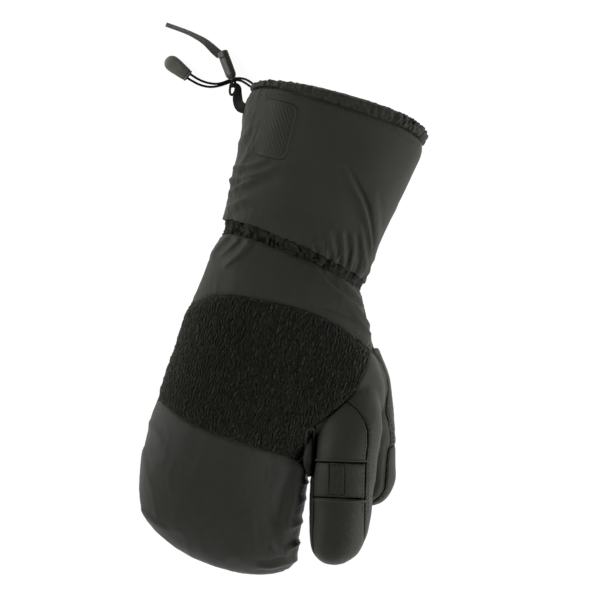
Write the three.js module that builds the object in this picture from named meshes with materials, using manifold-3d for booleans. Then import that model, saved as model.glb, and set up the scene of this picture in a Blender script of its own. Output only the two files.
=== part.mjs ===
// A right-hand winter work mitten with a gauntlet cuff, lying palm down on a surface.
// Three fingers share one padded pocket and the index finger has a leather sleeve of its own.
// Millimetres. +Z is up out of the back of the hand, +Y runs to the cuff's mouth and +X is the thumb's side.
// The origin lies on the palm, under the back of the hand.
import * as THREE from "three";
import { mergeVertices } from "three/addons/utils/BufferGeometryUtils.js";
import Module from "manifold-3d";

const wasm = await Module();
wasm.setup();

// Driving sizes
const GAP = 0.4; // between two pieces that are sewn to each other
const CUFF_WALL = 3;
const RIM_WALL = 4; // under the gathers of the hem and the wrist elastic
const HAND_WALL = 5; // shell, padding and lining together
const SIDE_SHARE = 0.42; // how far up a lying section is widest
const SETTLE = 2; // how far the underside is pressed flat
const ROUNDNESS = { backAcross: 0.86, backUp: 0.9, palmAcross: 0.7, palmUp: 0.75 }; // 1 is an ellipse
const CUFF_SIDES = 48;
const HAND_SIDES = 36;
const FINGER_SIDES = 20;
const SKY = 90; // above everything

// A row is one cross-section: the plan points of its two sides, its underside and top, and how far its back bows to
// +Y.
const hemRows = [
  { leftX: -62.5, leftY: 137, rightX: 53, rightY: 135.5, base: 3, top: 62, bow: 8 },
  { leftX: -65.5, leftY: 136, rightX: 55.5, rightY: 133.5, base: 0.5, top: 65, bow: 8 },
  { leftX: -67, leftY: 133.5, rightX: 57, rightY: 129.5, base: 0, top: 66, bow: 8 },
  { leftX: -66.5, leftY: 131, rightX: 55.5, rightY: 125, base: 0.5, top: 63.5, bow: 8.5 },
];
const gauntletRows = [
  { leftX: -66.8, leftY: 130.5, rightX: 55.8, rightY: 124.3, base: 0, top: 63.8, bow: 8.5 },
  { leftX: -67.8, leftY: 116, rightX: 55.7, rightY: 112, base: 0, top: 63, bow: 7 },
  { leftX: -65.8, leftY: 97, rightX: 52, rightY: 93, base: 0, top: 61, bow: 5 },
  { leftX: -64.6, leftY: 77, rightX: 47.5, rightY: 73, base: 0, top: 58, bow: 4 },
  { leftX: -64.2, leftY: 60, rightX: 43.5, rightY: 52, base: 0, top: 55, bow: 4 },
  { leftX: -63, leftY: 47, rightX: 41, rightY: 36, base: 0, top: 52, bow: 6 },
  { leftX: -62.8, leftY: 41, rightX: 39.5, rightY: 24, base: 0, top: 49.5, bow: 7 },
];
const wristRows = [
  { leftX: -62.5, leftY: 40.6, rightX: 39.3, rightY: 23.6, base: 0, top: 48.5, bow: 7 },
  { leftX: -61, leftY: 35.5, rightX: 38, rightY: 19.5, base: 1, top: 45.5, bow: 6.5 },
  { leftX: -61.3, leftY: 30, rightX: 37.6, rightY: 15, base: 0, top: 47.5, bow: 6 },
];
const handRows = [
  { leftX: -61.8, leftY: 29.5, rightX: 38, rightY: 14.5, base: 0, top: 49, bow: 6 },
  { leftX: -65, leftY: 13, rightX: 43.5, rightY: 4, base: 0, top: 53.5, bow: 5 },
  { leftX: -68, leftY: -5, rightX: 51, rightY: -12, base: 0, top: 57, bow: 3 },
  { leftX: -72.5, leftY: -25, rightX: 60, rightY: -26, base: 0, top: 59.5, bow: 2 },
  { leftX: -74.5, leftY: -44, rightX: 69, rightY: -44, base: 0, top: 60, bow: 0 },
  { leftX: -76, leftY: -62, rightX: 70, rightY: -62, base: 0, top: 59.5, bow: 0 },
  { leftX: -77, leftY: -80, rightX: 57, rightY: -80, base: 0, top: 58, bow: 0 },
  { leftX: -77.5, leftY: -91, rightX: 42, rightY: -91, base: 0, top: 56.5, bow: 0 },
  { leftX: -78, leftY: -101, rightX: 34, rightY: -101, base: 0, top: 55, bow: 0 },
  { leftX: -78, leftY: -116, rightX: 34, rightY: -116, base: 0, top: 52.5, bow: 0 },
  { leftX: -77, leftY: -135, rightX: 35.5, rightY: -135, base: 0, top: 48, bow: 0 },
  { leftX: -74, leftY: -153, rightX: 37.5, rightY: -153, base: 0, top: 41.5, bow: 0 },
  { leftX: -66.5, leftY: -168, rightX: 39.5, rightY: -168, base: 0, top: 34.5, bow: 0 },
  { leftX: -50, leftY: -180, rightX: 35, rightY: -180, base: 0.5, top: 27, bow: 0 },
  { leftX: -30, leftY: -187, rightX: 20, rightY: -187, base: 4, top: 20, bow: 0 },
  { leftX: -12, leftY: -189.7, rightX: 6, rightY: -189.7, base: 8, top: 15, bow: 0 },
];
const indexRows = [
  { leftX: 28, leftY: -58, rightX: 66, rightY: -50, base: 25, top: 52, bow: 0 },
  { leftX: 31, leftY: -80, rightX: 73.5, rightY: -71, base: 24.7, top: 56.5, bow: 0 },
  { leftX: 35, leftY: -103, rightX: 77.5, rightY: -94, base: 24.7, top: 57.5, bow: 0 },
  { leftX: 38.5, leftY: -123, rightX: 80.5, rightY: -114.5, base: 22.5, top: 55, bow: 0 },
  { leftX: 42.5, leftY: -140, rightX: 82, rightY: -132, base: 19.5, top: 51, bow: 0 },
  { leftX: 46, leftY: -153, rightX: 81.5, rightY: -146.5, base: 18, top: 47.5, bow: 0 },
  { leftX: 50, leftY: -162.5, rightX: 78.5, rightY: -158, base: 18, top: 43.5, bow: 0 },
  { leftX: 55, leftY: -167.2, rightX: 72.5, rightY: -165, base: 21, top: 39, bow: 0 },
  { leftX: 60.5, leftY: -169, rightX: 66.5, rightY: -168.4, base: 25.5, top: 33.5, bow: 0 },
];
const thumbRows = [
  { leftX: 26, leftY: -34, rightX: 57, rightY: -20, base: 2, top: 34, bow: 0 },
  { leftX: 40, leftY: -50, rightX: 71, rightY: -36, base: 0, top: 32, bow: 0 },
  { leftX: 48, leftY: -67, rightX: 79.5, rightY: -56, base: 0, top: 30, bow: 0 },
  { leftX: 55, leftY: -85, rightX: 86, rightY: -76, base: 0, top: 28.5, bow: 0 },
  { leftX: 59.5, leftY: -99, rightX: 89.3, rightY: -91, base: 0, top: 27.5, bow: 0 },
  { leftX: 63, leftY: -110, rightX: 91.5, rightY: -103, base: 0, top: 26.5, bow: 0 },
  { leftX: 67.5, leftY: -117.5, rightX: 90, rightY: -112, base: 0.5, top: 25, bow: 0 },
  { leftX: 72, leftY: -121.5, rightX: 86.5, rightY: -118.5, base: 3, top: 22, bow: 0 },
  { leftX: 76.5, leftY: -123.4, rightX: 81.5, rightY: -122.4, base: 8, top: 17.5, bow: 0 },
];

// A fold is a ridge (or, with a negative rise, a dent) along a line in plan that bends sideways by its sag.
const gauntletFolds = [
  { fromX: 38, fromY: 36, toX: 12, toY: 92, sag: 6, width: 5, rise: 2.4 },
  { fromX: 30, fromY: 28, toX: 25, toY: 64, sag: 4, width: 4, rise: 2 },
  { fromX: 18, fromY: 30, toX: 15, toY: 56, sag: 3, width: 4, rise: 1.6 },
  { fromX: -65, fromY: 72, toX: -36, toY: 88, sag: 0, width: 5, rise: 1.6 },
  { fromX: -64, fromY: 57, toX: -44, toY: 70, sag: 0, width: 5, rise: 1.6 },
];
const handFolds = [
  { fromX: 12, fromY: 22, toX: 52, toY: -14, sag: 5, width: 4, rise: 1.6 },
  { fromX: -60, fromY: 26, toX: -54, toY: 10, sag: 0, width: 4, rise: 1.4 },
  { fromX: -42, fromY: 28, toX: -52, toY: 12, sag: 0, width: 4, rise: 1.4 },
  { fromX: 37, fromY: -148, toX: 27, toY: -138, sag: 0, width: 4, rise: -1.6 },
  { fromX: 39, fromY: -164, toX: 26, toY: -174, sag: 0, width: 4, rise: -1.6 },
];
const HEM_RUFFLES = { count: 24, depth: 0.7 };
const WRIST_GATHERS = { count: 24, depth: 1.2 };
const GATHER_RIM_DEPTH = 0.7; // what of the gathers still shows on the gauntlet's lower rim

// Seams, as plan points
const fleeceTopSeam = [
  [-92, -24], [-76, -22.5], [-66, -17], [-57, -11.5], [-42, -8], [-20, -6.5],
  [0, -6], [15, -7.5], [30, -11.5], [45, -16.5], [55, -22], [72, -23],
];
const fleeceSideSeam = [
  [55, -22], [54.3, -32], [53, -42], [50.5, -51], [46.5, -58.5], [39, -69], [29.5, -80.5],
];
const fleeceBottomSeam = [
  [-92, -86.5], [-77, -88.5], [-68, -92], [-58, -96], [-47, -99.5], [-35, -101.7],
  [-20, -103.2], [0, -104], [15, -104.6], [28, -105.5],
];
const indexOuterSeam = [
  [46.5, -58.5], [55, -62], [62, -68], [66.3, -75], [68.6, -84], [69.8, -94], [71.8, -103],
  [74, -113], [76, -121], [77.8, -131], [78.8, -142], [78.5, -151], [76, -158.5], [71, -163.3], [64, -165.4],
];
const indexInnerSeam = [
  [64, -165.4], [57, -163.8], [52, -158.5], [48.5, -150], [45.3, -138], [42.3, -126], [39.5, -113],
  [37, -101], [34.5, -90], [29.5, -80.5],
];
const indexBandSeams = [
  [[30, -104.1], [74, -95.1]],
  [[36, -128.6], [80, -119.4]],
];
const indexTab = [[46.3, -103.4], [56.5, -101.3], [61.2, -121.2], [50.9, -123.4]];
const crotchFold = [
  [29.6, -111], [28.2, -103], [26.7, -94], [25.8, -86.5], [27.4, -83.6],
  [29.6, -86], [31.4, -93], [33, -101], [34.6, -110],
];
const CROTCH_FOLD_WALL = 1.8;
const CROTCH_FOLD_RISE = 0.8; // how far the fold stands proud of the hand
const CROTCH_FLOOR = { low: 30, high: 36 };
const sideSeam = [
  // y, z
  [34, 20.5], [10, 22], [-10, 23.4], [-50, 24], [-75, 23.8], [-104, 22.6],
  [-135, 20], [-153, 17.2], [-168, 14.4], [-180, 11.9], [-196, 11.3],
];
const thumbPatchSeam = [
  [66, -83.5], [75, -82], [82.6, -80.6], [84, -86], [84.6, -93], [85.8, -101], [87, -108],
  [86.6, -114], [83.4, -119.5], [80.5, -127],
];
const THUMB_SEAM_HEIGHT = 22.6;
const INDEX_BACK_FLOOR = 32; // the finger's back panels lie above this

// Badge, hardware and cords
const badge = { x: -45, y: 109, width: 27, length: 39, corner: 7, lift: GAP, thickness: 0.9 };
// A row of a strap's run is one section: its middle, its width and thickness, and its roll about the run in degrees.
const loopRows = [
  { x: -68.8, y: 117.4, z: 25, width: 7, thickness: 1.6, roll: 0 },
  { x: -71, y: 117.9, z: 23.6, width: 7, thickness: 1.8, roll: 0 },
  { x: -73.2, y: 120.3, z: 19, width: 7, thickness: 2.2, roll: 0 },
  { x: -74.9, y: 124, z: 13.6, width: 7, thickness: 2.8, roll: 0 },
  { x: -75.9, y: 128.6, z: 9.6, width: 6.6, thickness: 3.2, roll: 0 },
  { x: -76.5, y: 132.3, z: 8, width: 5.4, thickness: 3.2, roll: 0 },
];
const RING_WIRE = 1.1;
const ringPath = [
  [-80.2, 134.9, 7.4], [-78.7, 133, 7.5], [-77.7, 130.6, 8.2], [-77.4, 127.8, 9.4], [-78, 125.4, 10.2],
  [-79.3, 124.4, 10.2], [-80.7, 125.8, 9.4], [-81.6, 128.6, 8.4], [-81.6, 131.4, 7.6],
];
const keeperRows = [
  // along is how far the section lies from the head
  { along: 0, width: 5.6, thickness: 3.8 },
  { along: 0.6, width: 6.3, thickness: 4.4 },
  { along: 16.2, width: 6.6, thickness: 4.6 },
  { along: 17.8, width: 5.4, thickness: 4.2 },
  { along: 20.4, width: 3, thickness: 3.4 },
];
const keeper = { headX: -92, headY: 151.9, headZ: 3.1, footX: -80.4, footY: 135, footZ: 7.4, ridge: -0.8 };
const strapRows = [
  { x: -95.1, y: 149.8, z: 2.6, width: 6.2, thickness: 1.2, roll: 22 },
  { x: -97.5, y: 151, z: 2.6, width: 6.2, thickness: 1.2, roll: 24 },
  { x: -101, y: 153, z: 2.6, width: 6, thickness: 1.2, roll: 30 },
  { x: -106, y: 155.5, z: 2.8, width: 5.6, thickness: 1.2, roll: 42 },
  { x: -112, y: 157.3, z: 2.9, width: 5.2, thickness: 1.2, roll: 52 },
  { x: -120, y: 158.9, z: 2.9, width: 5, thickness: 1.2, roll: 58 },
  { x: -134.3, y: 160.4, z: 2.9, width: 5, thickness: 1.2, roll: 60 },
];
const CORD_RADIUS = 0.8;
const upperCordPath = [
  [-67.9, 135.4, 16], [-70, 136.3, 14.2], [-72.4, 137, 11.4], [-75.4, 137, 8], [-78.4, 136.4, 4.8],
  [-81.2, 135.2, 2.9], [-84, 133.4, 1.6], [-87, 131.3, 1.1], [-90.5, 129.6, 1], [-94.5, 128.8, 1],
  [-99, 128.7, 1.1], [-103.5, 129.4, 1.6], [-107.5, 130.6, 2.4], [-110.2, 131.5, 2.9],
];
const lowerCordPath = [
  [-67.9, 132.9, 13], [-70, 133.6, 11], [-72.4, 134.6, 8.2], [-75.4, 135, 5.2], [-78.4, 134.5, 2.6],
  [-81.2, 133.1, 1.3], [-84, 131.2, 1], [-87, 129.2, 1], [-90.5, 127.4, 1], [-94.5, 126.3, 1],
  [-99, 125.9, 1.1], [-103.5, 126.3, 1.6], [-107.5, 127.3, 2.4], [-110.9, 128.3, 2.9],
];
const cordEnd = {
  length: 18.6, rootWidth: 7.4, headWidth: 9.6, thickness: 5.6, edge: 0.8,
  rootX: -111.2, rootY: 129.9, turn: THREE.MathUtils.degToRad(157),
};

const materials = {
  nylon: new THREE.MeshStandardMaterial({ color: 0x2c2d29, roughness: 0.72, metalness: 0 }),
  fleece: new THREE.MeshStandardMaterial({ color: 0x1a1b17, roughness: 0.95, metalness: 0 }),
  leather: new THREE.MeshStandardMaterial({ color: 0x2e2f2b, roughness: 0.55, metalness: 0 }),
  badge_film: new THREE.MeshStandardMaterial({ color: 0x333430, roughness: 0.5, metalness: 0 }),
  webbing: new THREE.MeshStandardMaterial({ color: 0x1b1b18, roughness: 0.8, metalness: 0 }),
  leash: new THREE.MeshStandardMaterial({ color: 0x4a4642, roughness: 0.7, metalness: 0 }),
  moulded: new THREE.MeshStandardMaterial({ color: 0x4b4c46, roughness: 0.5, metalness: 0 }),
  cord: new THREE.MeshStandardMaterial({ color: 0x161613, roughness: 0.85, metalness: 0 }),
};

const mitten = new THREE.Group();

// Solids and meshes
function solidOf(geometry) {
  const bare = new THREE.BufferGeometry().setAttribute("position", geometry.getAttribute("position"));
  bare.setIndex(geometry.getIndex());
  const merged = mergeVertices(bare, 1e-4);
  return new wasm.Manifold(
    new wasm.Mesh({
      numProp: 3,
      vertProperties: merged.attributes.position.array,
      triVerts: new Uint32Array(merged.index.array),
    }),
  );
}

function geometryOf(solid) {
  const mesh = solid.getMesh();
  const positions = new Float32Array(mesh.numVert * 3);
  for (let i = 0; i < mesh.numVert; i++) {
    positions.set(mesh.vertProperties.subarray(i * mesh.numProp, i * mesh.numProp + 3), i * 3);
  }
  return new THREE.BufferGeometry()
    .setAttribute("position", new THREE.BufferAttribute(positions, 3))
    .setIndex(new THREE.BufferAttribute(mesh.triVerts, 1));
}

function addPiece(name, shape, material) {
  const geometry = shape.isBufferGeometry ? shape : geometryOf(largestBody(shape));
  geometry.computeVertexNormals();
  const mesh = new THREE.Mesh(geometry, material);
  mesh.name = name;
  mitten.add(mesh);
}

// Cutting can leave crumbs beside a seam; the panel is the largest body.
function largestBody(solid) {
  return solid.decompose().sort((a, b) => b.volume() - a.volume())[0];
}

const union = (solids) => solids.reduce((sum, next) => sum.add(next));

// Rows and rings
function catmullRom(a, b, c, d, t) {
  return 0.5 * (2 * b + (c - a) * t + (2 * a - 5 * b + 4 * c - d) * t * t + (3 * b - a - 3 * c + d) * t * t * t);
}

// The table's rows with steps - 1 more worked out smoothly between each two.
function refine(rows, steps) {
  const fine = [];
  for (let k = 0; k < rows.length - 1; k++) {
    const before = rows[Math.max(k - 1, 0)];
    const after = rows[Math.min(k + 2, rows.length - 1)];
    for (let i = 0; i < steps; i++) {
      const row = {};
      for (const column of Object.keys(rows[k])) {
        row[column] = catmullRom(before[column], rows[k][column], rows[k + 1][column], after[column], i / steps);
      }
      fine.push(row);
    }
  }
  fine.push(rows.at(-1));
  return fine;
}

const signedPower = (value, exponent) => Math.sign(value) * Math.abs(value) ** exponent;

// One ring of a row, grown outwards by grow, with relief(point, angle) more along its radius.
function ring(row, sides, grow = 0, relief = () => 0) {
  const left = new THREE.Vector3(row.leftX, row.leftY, 0);
  const right = new THREE.Vector3(row.rightX, row.rightY, 0);
  const middle = left.clone().add(right).multiplyScalar(0.5);
  const across = right.clone().sub(left);
  const halfWidth = across.length() / 2 + grow;
  across.normalize();
  const forward = new THREE.Vector3(-across.y, across.x, 0);
  const base = row.base - grow;
  const top = row.top + grow;
  const widest = row.base + SIDE_SHARE * (row.top - row.base);
  const points = [];
  for (let i = 0; i < sides; i++) {
    const angle = (2 * Math.PI * i) / sides;
    const c = Math.cos(angle);
    const s = Math.sin(angle);
    const roundness = s > 0 ? ROUNDNESS.backAcross : ROUNDNESS.palmAcross;
    const point = middle.clone().addScaledVector(across, halfWidth * signedPower(c, roundness));
    if (s > 0) {
      point.addScaledVector(forward, row.bow * s);
      point.z = widest + (top - widest) * s ** ROUNDNESS.backUp;
    } else {
      const drop = (widest - base + SETTLE) * Math.abs(s) ** ROUNDNESS.palmUp;
      point.z = Math.max(base, widest - drop);
    }
    const rise = relief(point, angle, row);
    point.addScaledVector(across, rise * c);
    point.z = Math.max(base, point.z + rise * s);
    points.push(point);
  }
  return points;
}

function meshOf(points, triangles) {
  return new THREE.BufferGeometry()
    .setAttribute("position", new THREE.Float32BufferAttribute(points.flatMap((p) => [p.x, p.y, p.z]), 3))
    .setIndex(triangles.flat());
}

// The quads between two rings of a loft, as triangles; first and second are the rings' first vertices.
function band(first, second, sides) {
  const triangles = [];
  for (let i = 0; i < sides; i++) {
    const next = (i + 1) % sides;
    triangles.push([first + i, first + next, second + i], [first + next, second + next, second + i]);
  }
  return triangles;
}

const centreOf = (points) =>
  points.reduce((sum, p) => sum.add(p), new THREE.Vector3()).multiplyScalar(1 / points.length);

// A solid through rings that run towards -Y, with a closed end at each side.
function loftRings(rings) {
  const sides = rings[0].length;
  const points = rings.flat();
  const triangles = [];
  for (let k = 0; k < rings.length - 1; k++) triangles.push(...band(k * sides, (k + 1) * sides, sides));
  const first = points.push(centreOf(rings[0])) - 1;
  const last = points.push(centreOf(rings.at(-1))) - 1;
  const start = (rings.length - 1) * sides;
  for (let i = 0; i < sides; i++) {
    const next = (i + 1) % sides;
    triangles.push([first, next, i], [last, start + i, start + next]);
  }
  return meshOf(points, triangles);
}

// A tube with a wall: outer and inner rings run the same way and share their ends.
function tubeWall(outer, inner) {
  const sides = outer[0].length;
  const points = [...outer.flat(), ...inner.flat()];
  const inside = outer.length * sides;
  const triangles = [];
  for (let k = 0; k < outer.length - 1; k++) triangles.push(...band(k * sides, (k + 1) * sides, sides));
  for (let k = 0; k < inner.length - 1; k++) {
    triangles.push(...band(inside + (k + 1) * sides, inside + k * sides, sides));
  }
  triangles.push(...band(inside, 0, sides));
  triangles.push(...band((outer.length - 1) * sides, inside + (inner.length - 1) * sides, sides));
  return meshOf(points, triangles);
}

// Folds and gathers
function foldRise(folds, x, y) {
  let rise = 0;
  for (const fold of folds) {
    const alongX = fold.toX - fold.fromX;
    const alongY = fold.toY - fold.fromY;
    const length = Math.hypot(alongX, alongY);
    const t = ((x - fold.fromX) * alongX + (y - fold.fromY) * alongY) / length ** 2;
    const share = THREE.MathUtils.clamp(t, 0, 1);
    const aside = ((x - fold.fromX) * alongY - (y - fold.fromY) * alongX) / length;
    const beyond = Math.max(0, t - 1, -t) * length;
    const off = Math.hypot(aside - fold.sag * 4 * share * (1 - share), beyond);
    rise += fold.rise * Math.exp(-((off / fold.width) ** 2)) * (1 - 0.5 * share);
  }
  return rise;
}

const reliefOf = (folds) => (point, angle) => (Math.sin(angle) > -0.2 ? foldRise(folds, point.x, point.y) : 0);

const ruffle = (gathers, depth, angle) => depth * Math.cos(gathers.count * angle);

// Plan shapes
const smoothPath = (points, count) =>
  new THREE.SplineCurve(points.map(([x, y]) => new THREE.Vector2(x, y))).getPoints(count);
const pathOf = (points) => points.map(([x, y]) => new THREE.Vector2(x, y));

function prism(outline, low, high) {
  const geometry = new THREE.ExtrudeGeometry(new THREE.Shape(outline), { depth: high - low, bevelEnabled: false });
  return solidOf(geometry.translate(0, 0, low));
}

// The outline of a strip of the given width along a path.
function stripOutline(path, width) {
  const sides = [[], []];
  path.forEach((p, i) => {
    const before = path[Math.max(i - 1, 0)];
    const after = path[Math.min(i + 1, path.length - 1)];
    const along = after.clone().sub(before).normalize();
    const normal = new THREE.Vector2(-along.y, along.x).multiplyScalar(width / 2);
    sides[0].push(p.clone().sub(normal));
    sides[1].unshift(p.clone().add(normal));
  });
  return sides.flat();
}

// A small outline with its corners moved outwards.
function grown(outline, by) {
  const path = pathOf(outline);
  const centre = path.reduce((sum, p) => sum.add(p), new THREE.Vector2()).divideScalar(path.length);
  return path.map((p) => new THREE.Vector2(p.x + by * Math.sign(p.x - centre.x), p.y + by * Math.sign(p.y - centre.y)));
}

const seamCut = (path, low = 0) => prism(stripOutline(path, GAP), low - 1, SKY);

// A solid swept along points in space; sectionAt(i) gives the section there as [across, up] and rollAt(i) its roll.
function sweep(points, sectionAt, rollAt = () => 0) {
  const rings = points.map((point, i) => {
    const next = points[Math.min(i + 1, points.length - 1)];
    const along = next.clone().sub(points[Math.max(i - 1, 0)]).normalize();
    const flat = new THREE.Vector3(-along.y, along.x, 0).normalize();
    const across = flat.applyAxisAngle(along, rollAt(i));
    const up = new THREE.Vector3().crossVectors(along, across);
    return sectionAt(i).map(([a, b]) => point.clone().addScaledVector(across, a).addScaledVector(up, b));
  });
  return loftRings(rings);
}

const vectors = (path) => path.map((p) => new THREE.Vector3(...p));

// A flat strap through a table's rows.
function strapThrough(rows) {
  const fine = refine(rows, 2);
  return sweep(
    fine.map((row) => new THREE.Vector3(row.x, row.y, row.z)),
    (i) => flatSection(fine[i].width, fine[i].thickness),
    (i) => THREE.MathUtils.degToRad(fine[i].roll),
  );
}

// A closed ring of round wire along a path.
function wireRing(path, radius, sides) {
  const curve = new THREE.CatmullRomCurve3(vectors(path), true);
  const section = new THREE.Shape(roundSection(radius, sides).map(([a, b]) => new THREE.Vector2(a, b)));
  return solidOf(new THREE.ExtrudeGeometry(section, { steps: 16, bevelEnabled: false, extrudePath: curve }));
}

const roundSection = (radius, sides) =>
  Array.from({ length: sides }, (_, i) => {
    const angle = (2 * Math.PI * i) / sides;
    return [radius * Math.cos(angle), radius * Math.sin(angle)];
  });

const flatSection = (width, thickness) => {
  const a = width / 2;
  const b = thickness / 2;
  return [[a, -b], [a, b], [-a, b], [-a, -b]];
};

// Cuff: hem, gauntlet and wrist elastic
function makeCuff() {
  const hemRelief = (point, angle) => ruffle(HEM_RUFFLES, HEM_RUFFLES.depth, angle);
  const hemOuter = hemRows.map((row, i, all) =>
    ring(row, CUFF_SIDES, 0, i === all.length - 1 ? undefined : hemRelief),
  );
  const hemInner = [hemRows[0], hemRows.at(-1)].map((row) => ring(row, CUFF_SIDES, -RIM_WALL));
  addPiece("hem_tunnel", tubeWall(hemOuter, hemInner), materials.nylon);

  const lowerRim = gauntletRows.at(-1);
  const cuffRelief = (point, angle, row) => {
    const nearRim = Math.exp(-Math.abs(row.leftY - lowerRim.leftY) / 6);
    const gathered = ruffle(WRIST_GATHERS, GATHER_RIM_DEPTH, angle) * nearRim;
    return reliefOf(gauntletFolds)(point, angle) + gathered;
  };
  const cuffOuter = refine(gauntletRows, 2).map((row) => ring(row, CUFF_SIDES, 0, cuffRelief));
  const cuffInner = [0, 3, 6].map((k) => ring(gauntletRows[k], CUFF_SIDES, -CUFF_WALL));
  const gauntlet = tubeWall(cuffOuter, cuffInner);
  addPiece("gauntlet", gauntlet, materials.nylon);

  const wristOuter = refine(wristRows, 2).map((row) =>
    ring(row, CUFF_SIDES, 0, (point, angle) => ruffle(WRIST_GATHERS, WRIST_GATHERS.depth, angle)),
  );
  const wristInner = [wristRows[0], wristRows.at(-1)].map((row) => ring(row, CUFF_SIDES, -RIM_WALL));
  addPiece("wrist_elastic", tubeWall(wristOuter, wristInner), materials.nylon);
}

// Badge: a bare film on the gauntlet's back, which follows the fabric under it
function makeBadge() {
  const relief = reliefOf(gauntletFolds);
  const skin = (grow) =>
    solidOf(loftRings(refine(gauntletRows, 2).map((row) => ring(row, CUFF_SIDES, grow, relief))));
  const { x, y, width, length, corner } = badge;
  const outline = new THREE.Shape();
  const a = width / 2;
  const b = length / 2;
  outline.moveTo(x - a + corner, y - b);
  outline.lineTo(x + a - corner, y - b);
  outline.absarc(x + a - corner, y - b + corner, corner, -Math.PI / 2, 0);
  outline.absarc(x + a - corner, y + b - corner, corner, 0, Math.PI / 2);
  outline.absarc(x - a + corner, y + b - corner, corner, Math.PI / 2, Math.PI);
  outline.absarc(x - a + corner, y - b + corner, corner, Math.PI, 1.5 * Math.PI);
  const film = prism(outline.getPoints(4), 35, SKY)
    .intersect(skin(badge.lift + badge.thickness))
    .subtract(skin(badge.lift));
  addPiece("badge", film, materials.badge_film);
}

// Hand: the shell of palm, back, index sleeve and thumb, cut along its seams
function hollow(rows, sides, reach = 0) {
  const first = { ...rows[0], leftY: rows[0].leftY + reach, rightY: rows[0].rightY + reach };
  const roomy = [first, ...rows.slice(1)].filter((row) => row.top - row.base - 2 * HAND_WALL > 8);
  return solidOf(loftRings(roomy.map((row) => ring(row, sides, -HAND_WALL))));
}

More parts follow.
